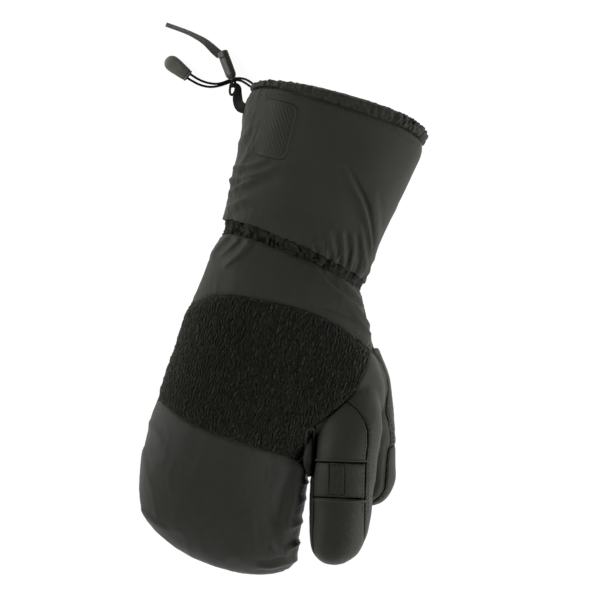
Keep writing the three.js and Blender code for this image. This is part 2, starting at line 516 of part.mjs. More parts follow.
function makeHand() {
  const skinOf = (rows, sides, relief) => (grow) =>
    solidOf(loftRings(rows.map((row) => ring(row, sides, grow, relief))));
  const handSkin = skinOf(handRows, HAND_SIDES, reliefOf(handFolds));
  const indexSkin = skinOf(indexRows, FINGER_SIDES);
  const thumbSkin = skinOf(thumbRows, FINGER_SIDES);
  const room = union([
    hollow(handRows, FINGER_SIDES, 4),
    hollow(indexRows, 16),
    hollow(thumbRows, 16),
  ]);
  const body = handSkin(0).add(indexSkin(0));

  // crotch fold: a hairpin strip with a floor, between the pocket and the finger
  const hairpin = smoothPath(crotchFold, 16);
  const foldWalls = prism(stripOutline(hairpin, CROTCH_FOLD_WALL), CROTCH_FLOOR.low, SKY);
  const foldFloor = prism(hairpin, CROTCH_FLOOR.low, CROTCH_FLOOR.high);
  const lifted = handSkin(CROTCH_FOLD_RISE).add(indexSkin(CROTCH_FOLD_RISE));
  const fold = foldWalls.add(foldFloor).intersect(lifted);
  const foldRoom = prism(stripOutline(hairpin, CROTCH_FOLD_WALL + 2 * GAP), CROTCH_FLOOR.low - GAP, SKY)
    .add(prism(hairpin, CROTCH_FLOOR.low - GAP, SKY));
  addPiece("crotch_fold", fold, materials.leather);

  const fleeceTop = smoothPath(fleeceTopSeam, 26);
  const fleeceSide = smoothPath(fleeceSideSeam, 12);
  const fleeceBottom = smoothPath(fleeceBottomSeam, 22);
  const outer = smoothPath(indexOuterSeam, 26);
  const inner = smoothPath(indexInnerSeam, 18);
  const bands = indexBandSeams.map(pathOf);

  // side seam between back and palm: a profile in Y and Z that runs across X and stops short of the index finger
  const seamProfile = pathOf(sideSeam);
  const acrossX = (outline) => {
    const geometry = new THREE.ExtrudeGeometry(new THREE.Shape(outline), { depth: 260, bevelEnabled: false });
    // the shape's x and y become the part's y and z
    const turned = new THREE.Matrix4().makeBasis(
      new THREE.Vector3(0, 1, 0),
      new THREE.Vector3(0, 0, 1),
      new THREE.Vector3(1, 0, 0),
    );
    return solidOf(geometry.applyMatrix4(turned).translate(-130, 0, 0));
  };
  const freeFinger = prism(pathOf([[35, -230], [130, -230], [130, -104], [35, -104]]), -10, SKY);
  const sideCut = acrossX(stripOutline(seamProfile, GAP)).subtract(freeFinger);
  const underside = acrossX([...seamProfile, new THREE.Vector2(-196, -20), new THREE.Vector2(34, -20)])
    .subtract(freeFinger);

  const backOutline = [...outer, ...inner.slice(1, -1)];
  const shell = body.subtract(room).subtract(foldRoom);
  const cutShell = shell
    .subtract(sideCut)
    .subtract(seamCut(fleeceTop, 12))
    .subtract(seamCut(fleeceSide, 24))
    .subtract(seamCut(fleeceBottom, 12))
    .subtract(seamCut([...hairpin.slice(0, 1), new THREE.Vector2(31, -120)], 24))
    .subtract(seamCut([...outer, ...inner.slice(1)], INDEX_BACK_FLOOR));
  const upper = cutShell.subtract(underside);
  addPiece("palm", cutShell.intersect(underside), materials.leather);

  const corner = (x, y) => new THREE.Vector2(x, y);
  const yokeOutline = [...fleeceTop, corner(120, -23), corner(120, 60), corner(-120, 60)];
  const fleeceOutline = [...fleeceTop.slice(0, 25), ...fleeceSide, corner(26, -84), ...[...fleeceBottom].reverse()];
  const pocketOutline = [
    ...fleeceBottom, corner(32, -112), corner(35.4, -113), corner(35.4, -210), corner(-120, -210),
  ];
  const yoke = upper.intersect(prism(yokeOutline, 0, SKY));
  const fleece = upper.intersect(prism(fleeceOutline, 0, SKY));
  const pocket = upper.intersect(prism(pocketOutline, 0, SKY));
  addPiece("back_yoke", yoke, materials.nylon);
  addPiece("fleece_patch", fleece, materials.fleece);
  addPiece("finger_pocket", pocket, materials.nylon);

  // index finger: three leather panels and a woven tab on its back, one leather sleeve round the rest
  const fingerBack = upper.intersect(prism(backOutline, INDEX_BACK_FLOOR, SKY));
  const tabRoom = prism(grown(indexTab, GAP / 2), 0, SKY);
  const panels = fingerBack.subtract(union(bands.map((path) => seamCut(path))));
  const [aboveFirst, aboveSecond] = bands.map((seam) =>
    prism([...seam, corner(120, -50), corner(0, -50)], 0, SKY),
  );
  addPiece("index_knuckle", panels.intersect(aboveFirst), materials.leather);
  addPiece("index_band", panels.intersect(aboveSecond).subtract(aboveFirst).subtract(tabRoom), materials.leather);
  addPiece("index_tab", fingerBack.intersect(prism(grown(indexTab, -GAP / 2), 0, SKY)), materials.webbing);
  addPiece("index_tip", panels.subtract(aboveSecond), materials.leather);
  const sleeve = upper
    .subtract(prism(yokeOutline, 0, SKY))
    .subtract(prism(fleeceOutline, 0, SKY))
    .subtract(prism(pocketOutline, 0, SKY))
    .subtract(prism(backOutline, INDEX_BACK_FLOOR, SKY));
  addPiece("index_sleeve", sleeve, materials.leather);

  const clear = handSkin(GAP).add(indexSkin(GAP));
  const thumbShell = thumbSkin(0).subtract(room).subtract(clear);
  const thumbPlan = pathOf([[0, -200], [200, -200], [200, 50], [0, 50]]);
  const above = prism(thumbPlan, THUMB_SEAM_HEIGHT + GAP / 2, SKY);
  const below = prism(thumbPlan, -1, THUMB_SEAM_HEIGHT - GAP / 2);
  const patchSeam = smoothPath(thumbPatchSeam, 18);
  const patchRoom = prism([...patchSeam, corner(50, -127), corner(50, -84)], 0, SKY);
  const thumbTop = thumbShell.intersect(above).subtract(seamCut(patchSeam));
  addPiece("thumb_back", thumbTop.subtract(patchRoom), materials.leather);
  addPiece("thumb_patch", thumbTop.intersect(patchRoom), materials.leather);
  addPiece("thumb_pad", thumbShell.intersect(below), materials.leather);
}

// Leash: a webbing loop sewn to the cuff, a wire ring in its fold, a moulded keeper on the ring and the strap that
// leaves the keeper's head
function makeLeash() {
  const channel = wireRing(ringPath, RING_WIRE / 2 + 0.3, 8);
  addPiece("leash_loop", solidOf(strapThrough(loopRows)).subtract(channel), materials.webbing);
  addPiece("leash_ring", wireRing(ringPath, RING_WIRE / 2, 6), materials.moulded);

  const head = new THREE.Vector3(keeper.headX, keeper.headY, keeper.headZ);
  const foot = new THREE.Vector3(keeper.footX, keeper.footY, keeper.footZ);
  const along = foot.clone().sub(head).normalize();
  const middles = keeperRows.map((row) => head.clone().addScaledVector(along, row.along));
  const body = sweep(middles, (i) => {
    const a = keeperRows[i].width / 2;
    const b = keeperRows[i].thickness / 2;
    const ridge = -keeper.ridge;
    return [[a, -b], [a, 0.3 * b], [ridge + 1, b], [ridge - 0.6, b], [-a, 0.1 * b], [-a, -b]];
  });
  addPiece("leash_keeper", solidOf(body).subtract(channel), materials.moulded);
  addPiece("leash_strap", strapThrough(strapRows), materials.leash);
}

// Drawcord: two strands that leave the hem and lie on the surface, and the moulded end that holds both
function makeDrawcord() {
  const section = roundSection(CORD_RADIUS, 8);
  addPiece("drawcord_upper", sweep(vectors(upperCordPath), () => section), materials.cord);
  addPiece("drawcord_lower", sweep(vectors(lowerCordPath), () => section), materials.cord);

  const { length, rootWidth, headWidth, thickness, edge, rootX, rootY, turn } = cordEnd;
  const outline = new THREE.Shape();
  outline.moveTo(0, -rootWidth / 2);
  outline.lineTo(length - headWidth / 2, -headWidth / 2);
  outline.absarc(length - headWidth / 2, 0, headWidth / 2, -Math.PI / 2, Math.PI / 2);
  outline.lineTo(0, rootWidth / 2);
  const shape = new THREE.ExtrudeGeometry(outline, {
    depth: thickness - 2 * edge, bevelThickness: edge, bevelSize: edge, bevelOffset: -edge,
    bevelSegments: 2, curveSegments: 8,
  });
  shape.translate(0, 0, edge).rotateZ(turn).translate(rootX, rootY, 0);
  addPiece("cord_end", solidOf(shape), materials.moulded);
}

makeCuff();
makeBadge();
makeHand();
makeLeash();
makeDrawcord();

export default mitten;
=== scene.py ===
"""A right-hand winter work mitten with a gauntlet cuff, lying palm down.

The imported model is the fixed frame. Each soft piece is laid over the solid that it replaces: the sections
of the cuff, the hand and the fingers are lofted finely, cut into panels along the seams and finished as cloth
or leather.
Lengths in the tables are millimetres, and MM turns them into metres.
"""
import math
from collections import namedtuple

import bmesh
import bpy
import numpy as np
from mathutils import Matrix, Vector, noise
from mathutils.bvhtree import BVHTree


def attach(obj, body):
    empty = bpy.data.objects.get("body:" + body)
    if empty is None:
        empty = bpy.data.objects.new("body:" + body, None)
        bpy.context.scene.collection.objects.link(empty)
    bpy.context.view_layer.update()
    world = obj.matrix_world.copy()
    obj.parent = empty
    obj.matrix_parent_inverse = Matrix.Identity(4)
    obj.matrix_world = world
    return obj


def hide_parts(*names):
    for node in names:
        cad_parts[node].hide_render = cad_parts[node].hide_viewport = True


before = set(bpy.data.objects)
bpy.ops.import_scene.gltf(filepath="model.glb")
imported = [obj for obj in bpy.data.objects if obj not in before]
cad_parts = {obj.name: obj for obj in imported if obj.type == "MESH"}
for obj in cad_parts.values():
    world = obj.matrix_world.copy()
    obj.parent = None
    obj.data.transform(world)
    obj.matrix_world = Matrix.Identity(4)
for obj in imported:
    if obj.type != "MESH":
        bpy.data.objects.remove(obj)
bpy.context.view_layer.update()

MM = 0.001
DOWN = Vector((0, 0, -1))
ABOVE_ALL = 200  # a height above the whole mitten

# The shared sizes of the mitten's sections
SIDE_SHARE = 0.42  # how far up a lying section is widest
SETTLE = 2.0  # how far the underside is pressed flat
BACK_ACROSS, BACK_UP = 0.86, 0.9  # 1 is an ellipse
PALM_ACROSS, PALM_UP = 0.7, 0.75

Row = namedtuple("Row", "left_x left_y right_x right_y base top bow")
Fold = namedtuple("Fold", "path gentle steep rise")

HEM_ROWS = [
    Row(-62.5, 135.6, 53, 133, 3, 62, 8.6),
    Row(-65.5, 134.4, 55.5, 131, 0.5, 65, 9),
    Row(-67, 132, 57, 127.5, 0, 66, 9.4),
    Row(-66.3, 127.3, 55.3, 119.8, 0.5, 63.3, 11),
]
GAUNTLET_ROWS = [
    Row(-66.8, 127.9, 55.8, 120.4, 0, 63.8, 11),
    Row(-67.8, 116, 55.7, 112, 0, 63, 7),
    Row(-65.8, 97, 52, 93, 0, 61, 5),
    Row(-64.6, 77, 47.5, 73, 0, 58, 4),
    Row(-64.2, 60, 43.5, 52, 0, 55, 4),
    Row(-63, 47, 41, 36, 0, 52, 6),
    Row(-62.8, 40.3, 38.9, 22, 0, 49.5, 5.6),
]
WRIST_ROWS = [
    Row(-62.5, 41.6, 39.3, 24.6, 0, 48.5, 6.8),
    Row(-61, 35.5, 38, 19.5, 1, 45.5, 6.5),
    Row(-61.3, 30, 37.6, 15, 0, 47.5, 6),
]
HAND_ROWS = [
    Row(-60.5, 36, 37, 21, 0.5, 41.5, 6),
    Row(-61.8, 29.5, 38, 14.5, 0, 49, 6),
    Row(-65, 13, 43.5, 4, 0, 53.5, 5),
    Row(-67.6, -5, 51, -12, 0, 57, 3),
    Row(-71.2, -25, 60, -26, 0, 59.5, 2),
    Row(-72.6, -44, 69, -44, 0, 60, 0),
    Row(-74.2, -62, 70, -62, 0, 59.5, 0),
    Row(-75.8, -80, 57, -80, 0, 58, 0),
    Row(-77, -91, 42, -91, 0, 56.5, 0),
    Row(-78, -101, 34, -101, 0, 55, 0),
    Row(-78, -116, 34, -116, 0, 52.5, 0),
    Row(-77, -135, 35.5, -135, 0, 48, 0),
    Row(-74, -153, 37.5, -153, 0, 41.5, 0),
    Row(-66.5, -168, 39.5, -168, 0, 34.5, 0),
    Row(-50, -180, 35, -180, 0.5, 27, 0),
    Row(-30, -187, 20, -187, 4, 20, 0),
    Row(-12, -189.7, 6, -189.7, 8, 15, 0),
]
INDEX_ROWS = [
    Row(28, -38, 58, -29, 27, 43, 0),
    Row(28, -58, 66, -50, 25, 51.5, 0),
    Row(31, -80, 72.8, -71, 24.7, 56.5, 0),
    Row(35, -103, 75, -94, 24.7, 57.5, 0),
    Row(38.5, -123, 78.7, -114.5, 22.5, 55, 0),
    Row(42.5, -140, 81.4, -132, 19.5, 51, 0),
    Row(46, -153, 81.5, -146.5, 18, 47.5, 0),
    Row(50, -162.5, 78.5, -158, 18, 43.5, 0),
    Row(55, -167.2, 72.5, -165, 21, 39, 0),
    Row(60.5, -169, 66.5, -168.4, 25.5, 33.5, 0),
]
THUMB_ROWS = [
    Row(26, -34, 59.5, -18.5, 2, 34, 0),
    Row(40, -50, 71.6, -35.5, 0, 32, 0),
    Row(48, -67, 79.5, -56, 0, 30, 0),
    Row(55, -85, 86, -76, 0, 28.5, 0),
    Row(59.5, -99, 90, -91, 0, 27.5, 0),
    Row(63, -110.5, 93, -103.5, 0, 26.5, 0),
    Row(67.5, -119, 91.6, -113.5, 0.5, 25, 0),
    Row(72, -123.2, 87.6, -120.3, 3, 22, 0),
    Row(77, -125.2, 82.4, -124.2, 8, 17.5, 0),
]

# Seams, as plan points
FLEECE_TOP = [
    (-92, -24), (-76, -22.5), (-66, -17), (-57, -11.5), (-42, -8), (-20, -6.5),
    (0, -6), (15, -7.5), (30, -11.5), (45, -16.5), (55, -22), (72, -23),
]
FLEECE_SIDE = [(55, -22), (54.3, -32), (53, -42), (50.5, -51), (46.5, -58.5), (39, -69), (29.5, -80.5)]
FLEECE_BOTTOM = [
    (-92, -86.5), (-77, -88.5), (-68, -92), (-58, -96), (-47, -99.5), (-35, -101.7),
    (-20, -103.2), (0, -104), (15, -104.6), (28, -105.5), (34, -108),
]
INDEX_LEFT = [
    (50, -164), (46.8, -155), (44.8, -145), (43, -136), (40.6, -128), (38.6, -120), (37, -112), (35.6, -101),
    (33.6, -90),
]
INDEX_BACK = [
    (46.5, -58.5), (55, -62), (62, -68), (66.3, -75), (68.6, -84), (69.8, -94), (71.8, -103),
    (74, -113), (76, -121), (78.3, -131), (81, -142), (83, -151), (83, -163), (70, -173), (57, -173),
    *INDEX_LEFT, (29.5, -80.5), (39, -69),
]
BAND_SEAMS = [[(30, -105.3), (76, -95.2)], [(34, -129), (82, -119)]]
BAND_WELTS = [
    [(36, -103), (45, -100.6), (57, -98.1), (70, -95.1)],
    [(41.5, -129.4), (50, -127.8), (63, -125), (77, -121.3)],
]
TAB = [(46.3, -103.4), (56.5, -101.3), (61.2, -121.2), (50.9, -123.4)]
CROTCH_SEAM = [(30.6, -95), (32.4, -105), (35.3, -113), (37, -126), (38, -140), (42, -172), (44, -200)]
SIDE_SEAM = [  # y and height
    (60, 19), (34, 20.5), (10, 22), (-10, 23.4), (-50, 24), (-75, 23.8), (-104, 22.6),
    (-135, 20), (-153, 17.2), (-168, 14.4), (-180, 11.9), (-210, 11.3),
]
FREE_FINGER = {"x": 35.0, "y": -104.0}  # beyond these the index finger is off the hand
FAR_ABOVE = 50.0  # the height above the side seam that stands for having none
CROTCH_FOLD = [
    (21.5, -110.4), (24, -108.4), (26.4, -105.8), (27.9, -102.5), (28, -98.5), (27, -93), (26, -88),
    (25.9, -85), (27, -83.2), (28.8, -83), (30.2, -84.6), (31.2, -88), (32.4, -93), (33.4, -98),
    (34.1, -103), (34.6, -108), (35, -113),
]
THUMB_ROOT = [(53, -18), (57, -22), (61, -24.6), (66, -30), (71, -35.5), (73, -42), (74, -50)]
HAND_EDGE = FLEECE_SIDE + CROTCH_SEAM  # between the three-finger side and the index finger's leather
THUMB_SEAM = [
    (50, -10), (57, -22), (65, -29), (70, -36), (73, -44), (74, -55), (75, -60), (78.5, -66), (81.5, -73),
    (83.6, -80), (82.8, -84), (83.4, -90), (84.5, -97), (85.8, -104), (86.8, -111), (85.6, -116),
    (81.5, -121.5), (74, -127),
]
THUMB_SEAM_LOW = 15  # where the back panel ends on the inner side
THUMB_PATCH_SEAM = [(66, -90), (82.6, -83.4), (87, -80.4), (96, -76)]
THUMB_PATCH_LOW = 9
HEM_STITCHES = [
    (-62, 127.6), (-50, 131.2), (-40, 132.6), (-30, 133), (0, 132), (20, 130), (30, 128.3), (40, 125.3),
    (50, 121.8), (54, 120.4),
]

# How the pocket fills out beside the index finger
POCKET_EDGE = {
    "x": 30.5, "width": 6.5, "lift": 8,
    "heights": (21, 33), "start": (101, 111), "end": (148, 166),  # where each change begins and ends
}
FINGER_MIDDLE = [  # y and the index finger's widest height
    (-169, 28.5), (-153, 30.5), (-140, 33), (-123, 36), (-103, 38.5), (-60, 37),
]

# Skins, welts and stitches
SKIN_VOXEL = 1.15  # the size of the skin's squares
WALL = 2.0  # the thickness of a panel
HAND_FULLNESS = 1.1  # how far the padding swells
TURNED_IN = 0.8  # how far a panel's edges are turned in
WELT_WIDTH = 1.5
STITCH_PITCH = 2.8  # from one stitch to the next
STITCH_SIZE = (2.1, 0.55, 0.5)  # length, width and height

# A fold is a ridge along a plan path, full at its start and faded at its end. It falls off over gentle on its
# left and over steep on its right, where a valley lies beside it.
FOLD_REACH = 9
GAUNTLET_FOLDS = [
    Fold(
        [(39.5, 26), (39, 36), (37, 47), (34, 56), (31, 63), (28, 69), (25, 74), (20, 80), (12, 89), (5, 97)],
        2.8, 1.1, 2.9,
    ),
    Fold([(40.5, 46), (41, 54), (39, 62), (36.5, 70), (33, 79), (31, 86)], 4, 1.6, 0.7),
    Fold([(32, 20), (35.5, 28), (36, 34), (34, 42), (30.5, 52), (26, 62)], 2.6, 1.3, 1.5),
    Fold([(26, 22), (27.3, 29), (28.2, 38), (26.5, 46), (23, 55)], 2.2, 1.2, 1.3),
    Fold([(22.5, 24), (22.5, 31), (21.5, 38), (19, 46), (15.5, 54)], 2.4, 1.3, 1.4),
    Fold([(17.5, 26), (17, 31), (14, 38), (10.5, 45), (7, 52)], 2.6, 1.4, 1.2),
    Fold([(9, 29), (7.5, 36), (4, 42)], 2.2, 1.4, 0.9),
    Fold([(1, 31), (-1, 37), (-4, 42)], 2.2, 1.4, 0.8),
    Fold([(-68, 66), (-59, 71), (-50, 76), (-41, 81.5), (-35, 85)], 1.5, 3, 2.2),
    Fold([(-68, 76), (-59, 79), (-51, 84), (-43, 88)], 1.3, 3, 1.8),
    Fold([(-67, 56), (-60, 64), (-54, 69), (-48, 72)], 1.3, 2.6, 1.8),
    Fold([(-66, 44), (-62, 50), (-57, 55), (-50, 59)], 1.3, 2.6, 1.6),
    Fold([(-66, 62), (-64, 72), (-60.5, 84), (-58.5, 94), (-58, 102)], 1.2, 2.4, 1.2),
    Fold([(-68, 84), (-65.5, 93), (-62.5, 102), (-60.5, 110)], 1.2, 2.2, 1.1),
]
HAND_FOLDS = [
    Fold([(49.5, -9.5), (44, -3), (36, 4.2), (27, 8.8), (17, 13.5), (9, 18.5), (3, 25)], 3.2, 1.4, 3.2),
    Fold([(42, 4.5), (36, 10.5), (27.5, 16.3), (20, 21)], 2.2, 1.2, 2),
    Fold([(51, -13.5), (44, -7.5), (37, -1.5), (31, 3)], 2.2, 1.2, 1.4),
    Fold([(50, -12.5), (40, -8), (28, -4.5), (14, -3)], 1.4, 1, 1.2),
    Fold([(-41, 30), (-46, 20), (-52, 12), (-56, 7)], 1.2, 3, 2.1),
    Fold([(-49, 30), (-54, 22), (-60, 14)], 1.2, 2.4, 1.6),
    Fold([(-57, 29), (-61, 22), (-65, 12)], 1.2, 2.2, 1.6),
    Fold([(76.5, -112), (75.4, -96), (74.3, -80), (73, -66), (71.5, -50), (68, -32)], 7, 3, 1.5),
    Fold([(40, -143), (35, -147.5), (31, -152)], 1, 1.5, 1.3),
    Fold([(41, -159), (36, -163), (31, -169)], 1, 1.5, 1.6),
    Fold([(40, -171), (33, -176), (24, -180.5), (14, -183)], 1.3, 1.8, 1.6),
    Fold([(34, -170), (27, -171), (20, -167)], 1.2, 1.8, 1.3),
    Fold([(37, -118), (32, -120), (26, -123)], 1.1, 1.6, 1.3),
    Fold([(37, -128), (33, -133), (29, -140)], 1, 1.8, 0.8),
    Fold([(-79, -104), (-70, -112), (-62, -122)], 1.8, 3.5, 0.9),
    Fold([(-79, -122), (-73, -135), (-67, -148)], 1.8, 3.5, 0.8),
    Fold([(-70, -163), (-58, -170), (-46, -174)], 1.6, 3, 0.8),
]

# Cords, leash and hardware
CORD_DIAMETER = 1.6
CORD_EXIT = {"y": 134.2, "z": 14.5}
UPPER_CORD = [
    (-65.4, 134.6, 17), (-67.9, 135.6, 15.8), (-70, 136.4, 14), (-72.4, 137, 11.4), (-75.4, 137, 8),
    (-78.4, 136.4, 4.8), (-81.2, 135.2, 2.9), (-84, 133.4, 1.6), (-87, 131.3, 1.1), (-90.5, 129.6, 1),
    (-94.5, 128.8, 1), (-99, 128.7, 1.1), (-103.5, 129.4, 1.6), (-107.5, 130.6, 2.4), (-110.2, 131.5, 2.9),
]
LOWER_CORD = [
    (-65.6, 132.3, 14.6), (-67.9, 133, 13), (-70, 133.8, 11), (-72.4, 134.7, 8.2), (-75.4, 135.4, 5.2),
    (-78.4, 135.1, 2.6), (-81.2, 133.6, 1.3), (-84, 131.6, 1), (-87, 129.7, 1), (-90.5, 127.8, 1),
    (-94.5, 126.4, 1), (-99, 125.9, 1.1), (-103.5, 126.3, 1.6), (-107.5, 127.3, 2.4), (-110.9, 128.3, 2.9),
]

StrapRow = namedtuple("StrapRow", "x y z width thickness roll")
LOOP_ROWS = [
    StrapRow(-65.5, 117.4, 25.6, 6.6, 1.6, 0),
    StrapRow(-68.2, 117.3, 24.6, 7.2, 1.6, 0),
    StrapRow(-71, 117.9, 21.6, 7.6, 1.8, 0),
    StrapRow(-73.2, 120, 17, 7, 2.2, 0),
    StrapRow(-74.7, 123.6, 12.8, 6.6, 2.6, 0),
    StrapRow(-75.2, 127.2, 10.4, 5, 2.6, 0),
    StrapRow(-75.9, 129.7, 9.8, 4.6, 2.6, 0),
    StrapRow(-77.6, 131.2, 9.6, 4, 2.6, 0),
    StrapRow(-79.8, 131, 9.2, 3.2, 2.4, 0),
    StrapRow(-81.5, 129.7, 8.4, 2.2, 1.8, 0),
]
LEASH_ROWS = [
    StrapRow(-93.2, 148.9, 2.7, 6, 1.2, 20),
    StrapRow(-95.1, 149.8, 2.6, 6.2, 1.2, 22),
    StrapRow(-97.5, 151, 2.6, 6.2, 1.2, 24),
    StrapRow(-101, 153, 2.6, 6, 1.2, 30),
    StrapRow(-106, 155.5, 2.8, 5.6, 1.2, 42),
    StrapRow(-112, 157.3, 2.9, 5.2, 1.2, 52),
    StrapRow(-120, 158.9, 2.9, 5, 1.2, 58),
    StrapRow(-134.3, 160.4, 2.9, 5, 1.2, 60),
]
GUSSET_ROWS = [
    StrapRow(29.4, -90, 44, 4, 9, 0),
    StrapRow(30.4, -97, 45, 5.5, 9, 0),
    StrapRow(31.4, -104, 44.5, 6.5, 9, 0),
    StrapRow(33, -109, 42, 5, 8, 0),
    StrapRow(34.8, -113.4, 38, 3, 5, 0),
]
KEEPER_HEAD = (-92.7, 151.9, 3.1)
KEEPER_FOOT = (-80.9, 134.8, 7.4)
KEEPER_SECTIONS = [  # how far from the head, width and thickness
    (0, 5.6, 3.6), (0.5, 7, 4.4), (1.2, 7.4, 4.7), (4, 7.4, 4.7), (4.4, 7, 4.3), (4.9, 7, 4.3),
    (5.3, 7.4, 4.8), (10, 7.4, 4.8), (17, 7.2, 4.8), (18.4, 6.6, 4.4), (19.4, 5.6, 4), (20.1, 4.4, 3.4),
    (20.6, 2.8, 2.8),
]
KEEPER_RIDGE = 0.8  # how far the lengthwise ridge lies left of the middle
RING_WIRE = 1.7
RING_PATH = [
    (-80.2, 134.9, 7.4), (-78.7, 133, 7.5), (-77.7, 130.6, 8.2), (-77.4, 127.8, 9.4), (-78, 125.4, 10.2),
    (-79.3, 124.4, 10.2), (-80.6, 125.8, 9), (-81.2, 128.4, 8), (-81.3, 131.4, 7.2),
]
BADGE = {
    "x": -45, "y": 108, "width": 28, "length": 40, "corner": 8, "lift": 0.25, "rise": 0.55,
    "border": 1.6, "border_width": 0.7, "field": 3.4, "rib_pitch": 2.6, "slant": 0.6,
}
CORD_END = {
    "root": (-110.4, 129.6), "turn": 156, "length": 20, "root_width": 8.2, "head_width": 10.8, "height": 5.6,
    "collar": (1.6, 2.4), "collar_depth": 0.5, "ribs": (5, 13.4), "rib_pitch": 1.5, "rib_rise": 0.16,
    "groove_place": 0.74, "groove_width": 0.07, "groove_depth": 0.3,  # shares of the half width, then mm
}


# Camera, light and floor
PHOTO_WIDTH = 408.0  # what the photo's frame takes in, in millimetres
PHOTO_TURN = math.radians(14)
CAMERA_DISTANCE = 7.0
AIM_HEIGHT = 30.0
LIGHT_AIM = (0, -0.02, 0.03)  # metres, as the lights' places are


def new_object(name, data):
    made = bpy.data.objects.new(name, data)
    bpy.context.scene.collection.objects.link(made)
    return made


def object_from(bm, name):
    mesh = bpy.data.meshes.new(name)
    bm.to_mesh(mesh)
    bm.free()
    return new_object(name, mesh)


def set_inputs(node, values):
    for label, value in values.items():
        node.inputs[label].default_value = value


def make_camera():
    data = bpy.data.cameras.new("camera")
    data.sensor_width = 36
    data.lens = data.sensor_width * (CAMERA_DISTANCE - AIM_HEIGHT * MM) / (PHOTO_WIDTH * MM)
    data.clip_end = 50
    camera = new_object("camera", data)
    camera.location = (0, 0, CAMERA_DISTANCE)
    camera.rotation_euler = (0, 0, PHOTO_TURN)
    bpy.context.scene.camera = camera


def make_light(name, place, size, power):
    data = bpy.data.lights.new(name, "AREA")
    data.shape = "RECTANGLE"
    data.size, data.size_y = size
    data.energy = power
    light = new_object(name, data)
    light.location = place
    light.rotation_euler = (Vector(LIGHT_AIM) - Vector(place)).to_track_quat("-Z", "Y").to_euler()


def make_studio():
    """A bright room whose ceiling is darker than its walls, two soft lights and a white floor."""
    world = bpy.data.worlds.new("studio")
    world.use_nodes = True
    nodes, links = world.node_tree.nodes, world.node_tree.links
    coord = nodes.new("ShaderNodeTexCoord")
    axes = nodes.new("ShaderNodeSeparateXYZ")
    ramp = nodes.new("ShaderNodeMapRange")
    set_inputs(ramp, {"From Min": 0.1, "From Max": 0.9, "To Min": 1.3, "To Max": 0.3})
    links.new(coord.outputs["Generated"], axes.inputs[0])
    links.new(axes.outputs["Z"], ramp.inputs["Value"])
    links.new(ramp.outputs["Result"], nodes["Background"].inputs["Strength"])
    bpy.context.scene.world = world
    make_light("left_softbox", (-2.0, 0.1, 0.9), (0.8, 1.4), 26)
    make_light("right_softbox", (2.0, -0.3, 0.9), (0.8, 1.4), 28)

    bm = bmesh.new()
    bmesh.ops.create_grid(bm, x_segments=1, y_segments=1, size=6)
    floor = object_from(bm, "floor")
    paint = bpy.data.materials.new("pale_floor")
    paint.use_nodes = True
    shader = paint.node_tree.nodes["Principled BSDF"]
    set_inputs(shader, {"Base Color": (0.3, 0.3, 0.3, 1), "Roughness": 1, "Specular IOR Level": 0})
    set_inputs(shader, {"Emission Color": (1, 1, 1, 1), "Emission Strength": 0.95})
    floor.data.materials.append(paint)
    bpy.context.scene.view_settings.view_transform = "Standard"


make_camera()
make_studio()


# Meshes
def smooth_step(values, low, high):
    share = np.clip((values - low) / (high - low), 0, 1)
    return share * share * (3 - 2 * share)


def catmull_rom(a, b, c, d, t):
    return 0.5 * (2 * b + (c - a) * t + (2 * a - 5 * b + 4 * c - d) * t**2 + (3 * b - a - 3 * c + d) * t**3)


def row_at(rows, share):
    """The table's row at a share of the way through it, worked out smoothly between its rows."""
    place = share * (len(rows) - 1)
    k = min(int(place), len(rows) - 2)
    before, after = rows[max(k - 1, 0)], rows[min(k + 2, len(rows) - 1)]
    return Row(*(catmull_rom(*four, place - k) for four in zip(before, rows[k], rows[k + 1], after)))


def smooth_path(points, count):
    """count points on a smooth curve through the given ones."""
    path = []
    for i in range(count):
        place = i / (count - 1) * (len(points) - 1)
        k = min(int(place), len(points) - 2)
        four = points[max(k - 1, 0)], points[k], points[k + 1], points[min(k + 2, len(points) - 1)]
        path.append(tuple(catmull_rom(*values, place - k) for values in zip(*four)))
    return path


def on_section(row, angle, grow=0.0):
    """A point on a section, in millimetres. Angle 0 is the thumb's side and a quarter turn the back."""
    across = Vector((row.right_x - row.left_x, row.right_y - row.left_y, 0))
    middle = Vector((row.right_x + row.left_x, row.right_y + row.left_y, 0)) / 2
    half_width = across.length / 2 + grow
    across.normalize()
    forward = Vector((-across.y, across.x, 0))
    base, top = row.base - grow, row.top + grow
    widest = row.base + SIDE_SHARE * (row.top - row.base)
    c, s = math.cos(angle), math.sin(angle)
    roundness = BACK_ACROSS if s > 0 else PALM_ACROSS
    point = middle + across * half_width * math.copysign(abs(c) ** roundness, c)
    if s > 0:
        point += forward * row.bow * s
        point.z = widest + (top - widest) * s**BACK_UP
    else:
        point.z = max(base, widest - (widest - base + SETTLE) * abs(s) ** PALM_UP)
    return point


def rolled_grid(rows, around, along, grow=0.0):
    """A grid rolled up into a tube through the rows."""
    bm = bmesh.new()
    bmesh.ops.create_grid(bm, x_segments=around, y_segments=along, size=1)
    sections = {}
    for vert in bm.verts:
        share = round((vert.co.y + 1) / 2, 6)
        if share not in sections:
            sections[share] = row_at(rows, share)
        vert.co = on_section(sections[share], math.pi * (vert.co.x + 1), grow) * MM
    bmesh.ops.remove_doubles(bm, verts=bm.verts, dist=1e-6)
    return bm


def cap_ends(bm):
    bmesh.ops.holes_fill(bm, edges=[e for e in bm.edges if e.is_boundary], sides=0)
    bmesh.ops.recalc_face_normals(bm, faces=bm.faces)


def closed_body(rows, around, along):
    bm = rolled_grid(rows, around, along)
    cap_ends(bm)
    return bm


def apply_modifiers(piece):
    graph = bpy.context.evaluated_depsgraph_get()
    mesh = bpy.data.meshes.new_from_object(piece.evaluated_get(graph))
    old = piece.data
    piece.modifiers.clear()
    piece.data = mesh
    bpy.data.meshes.remove(old)


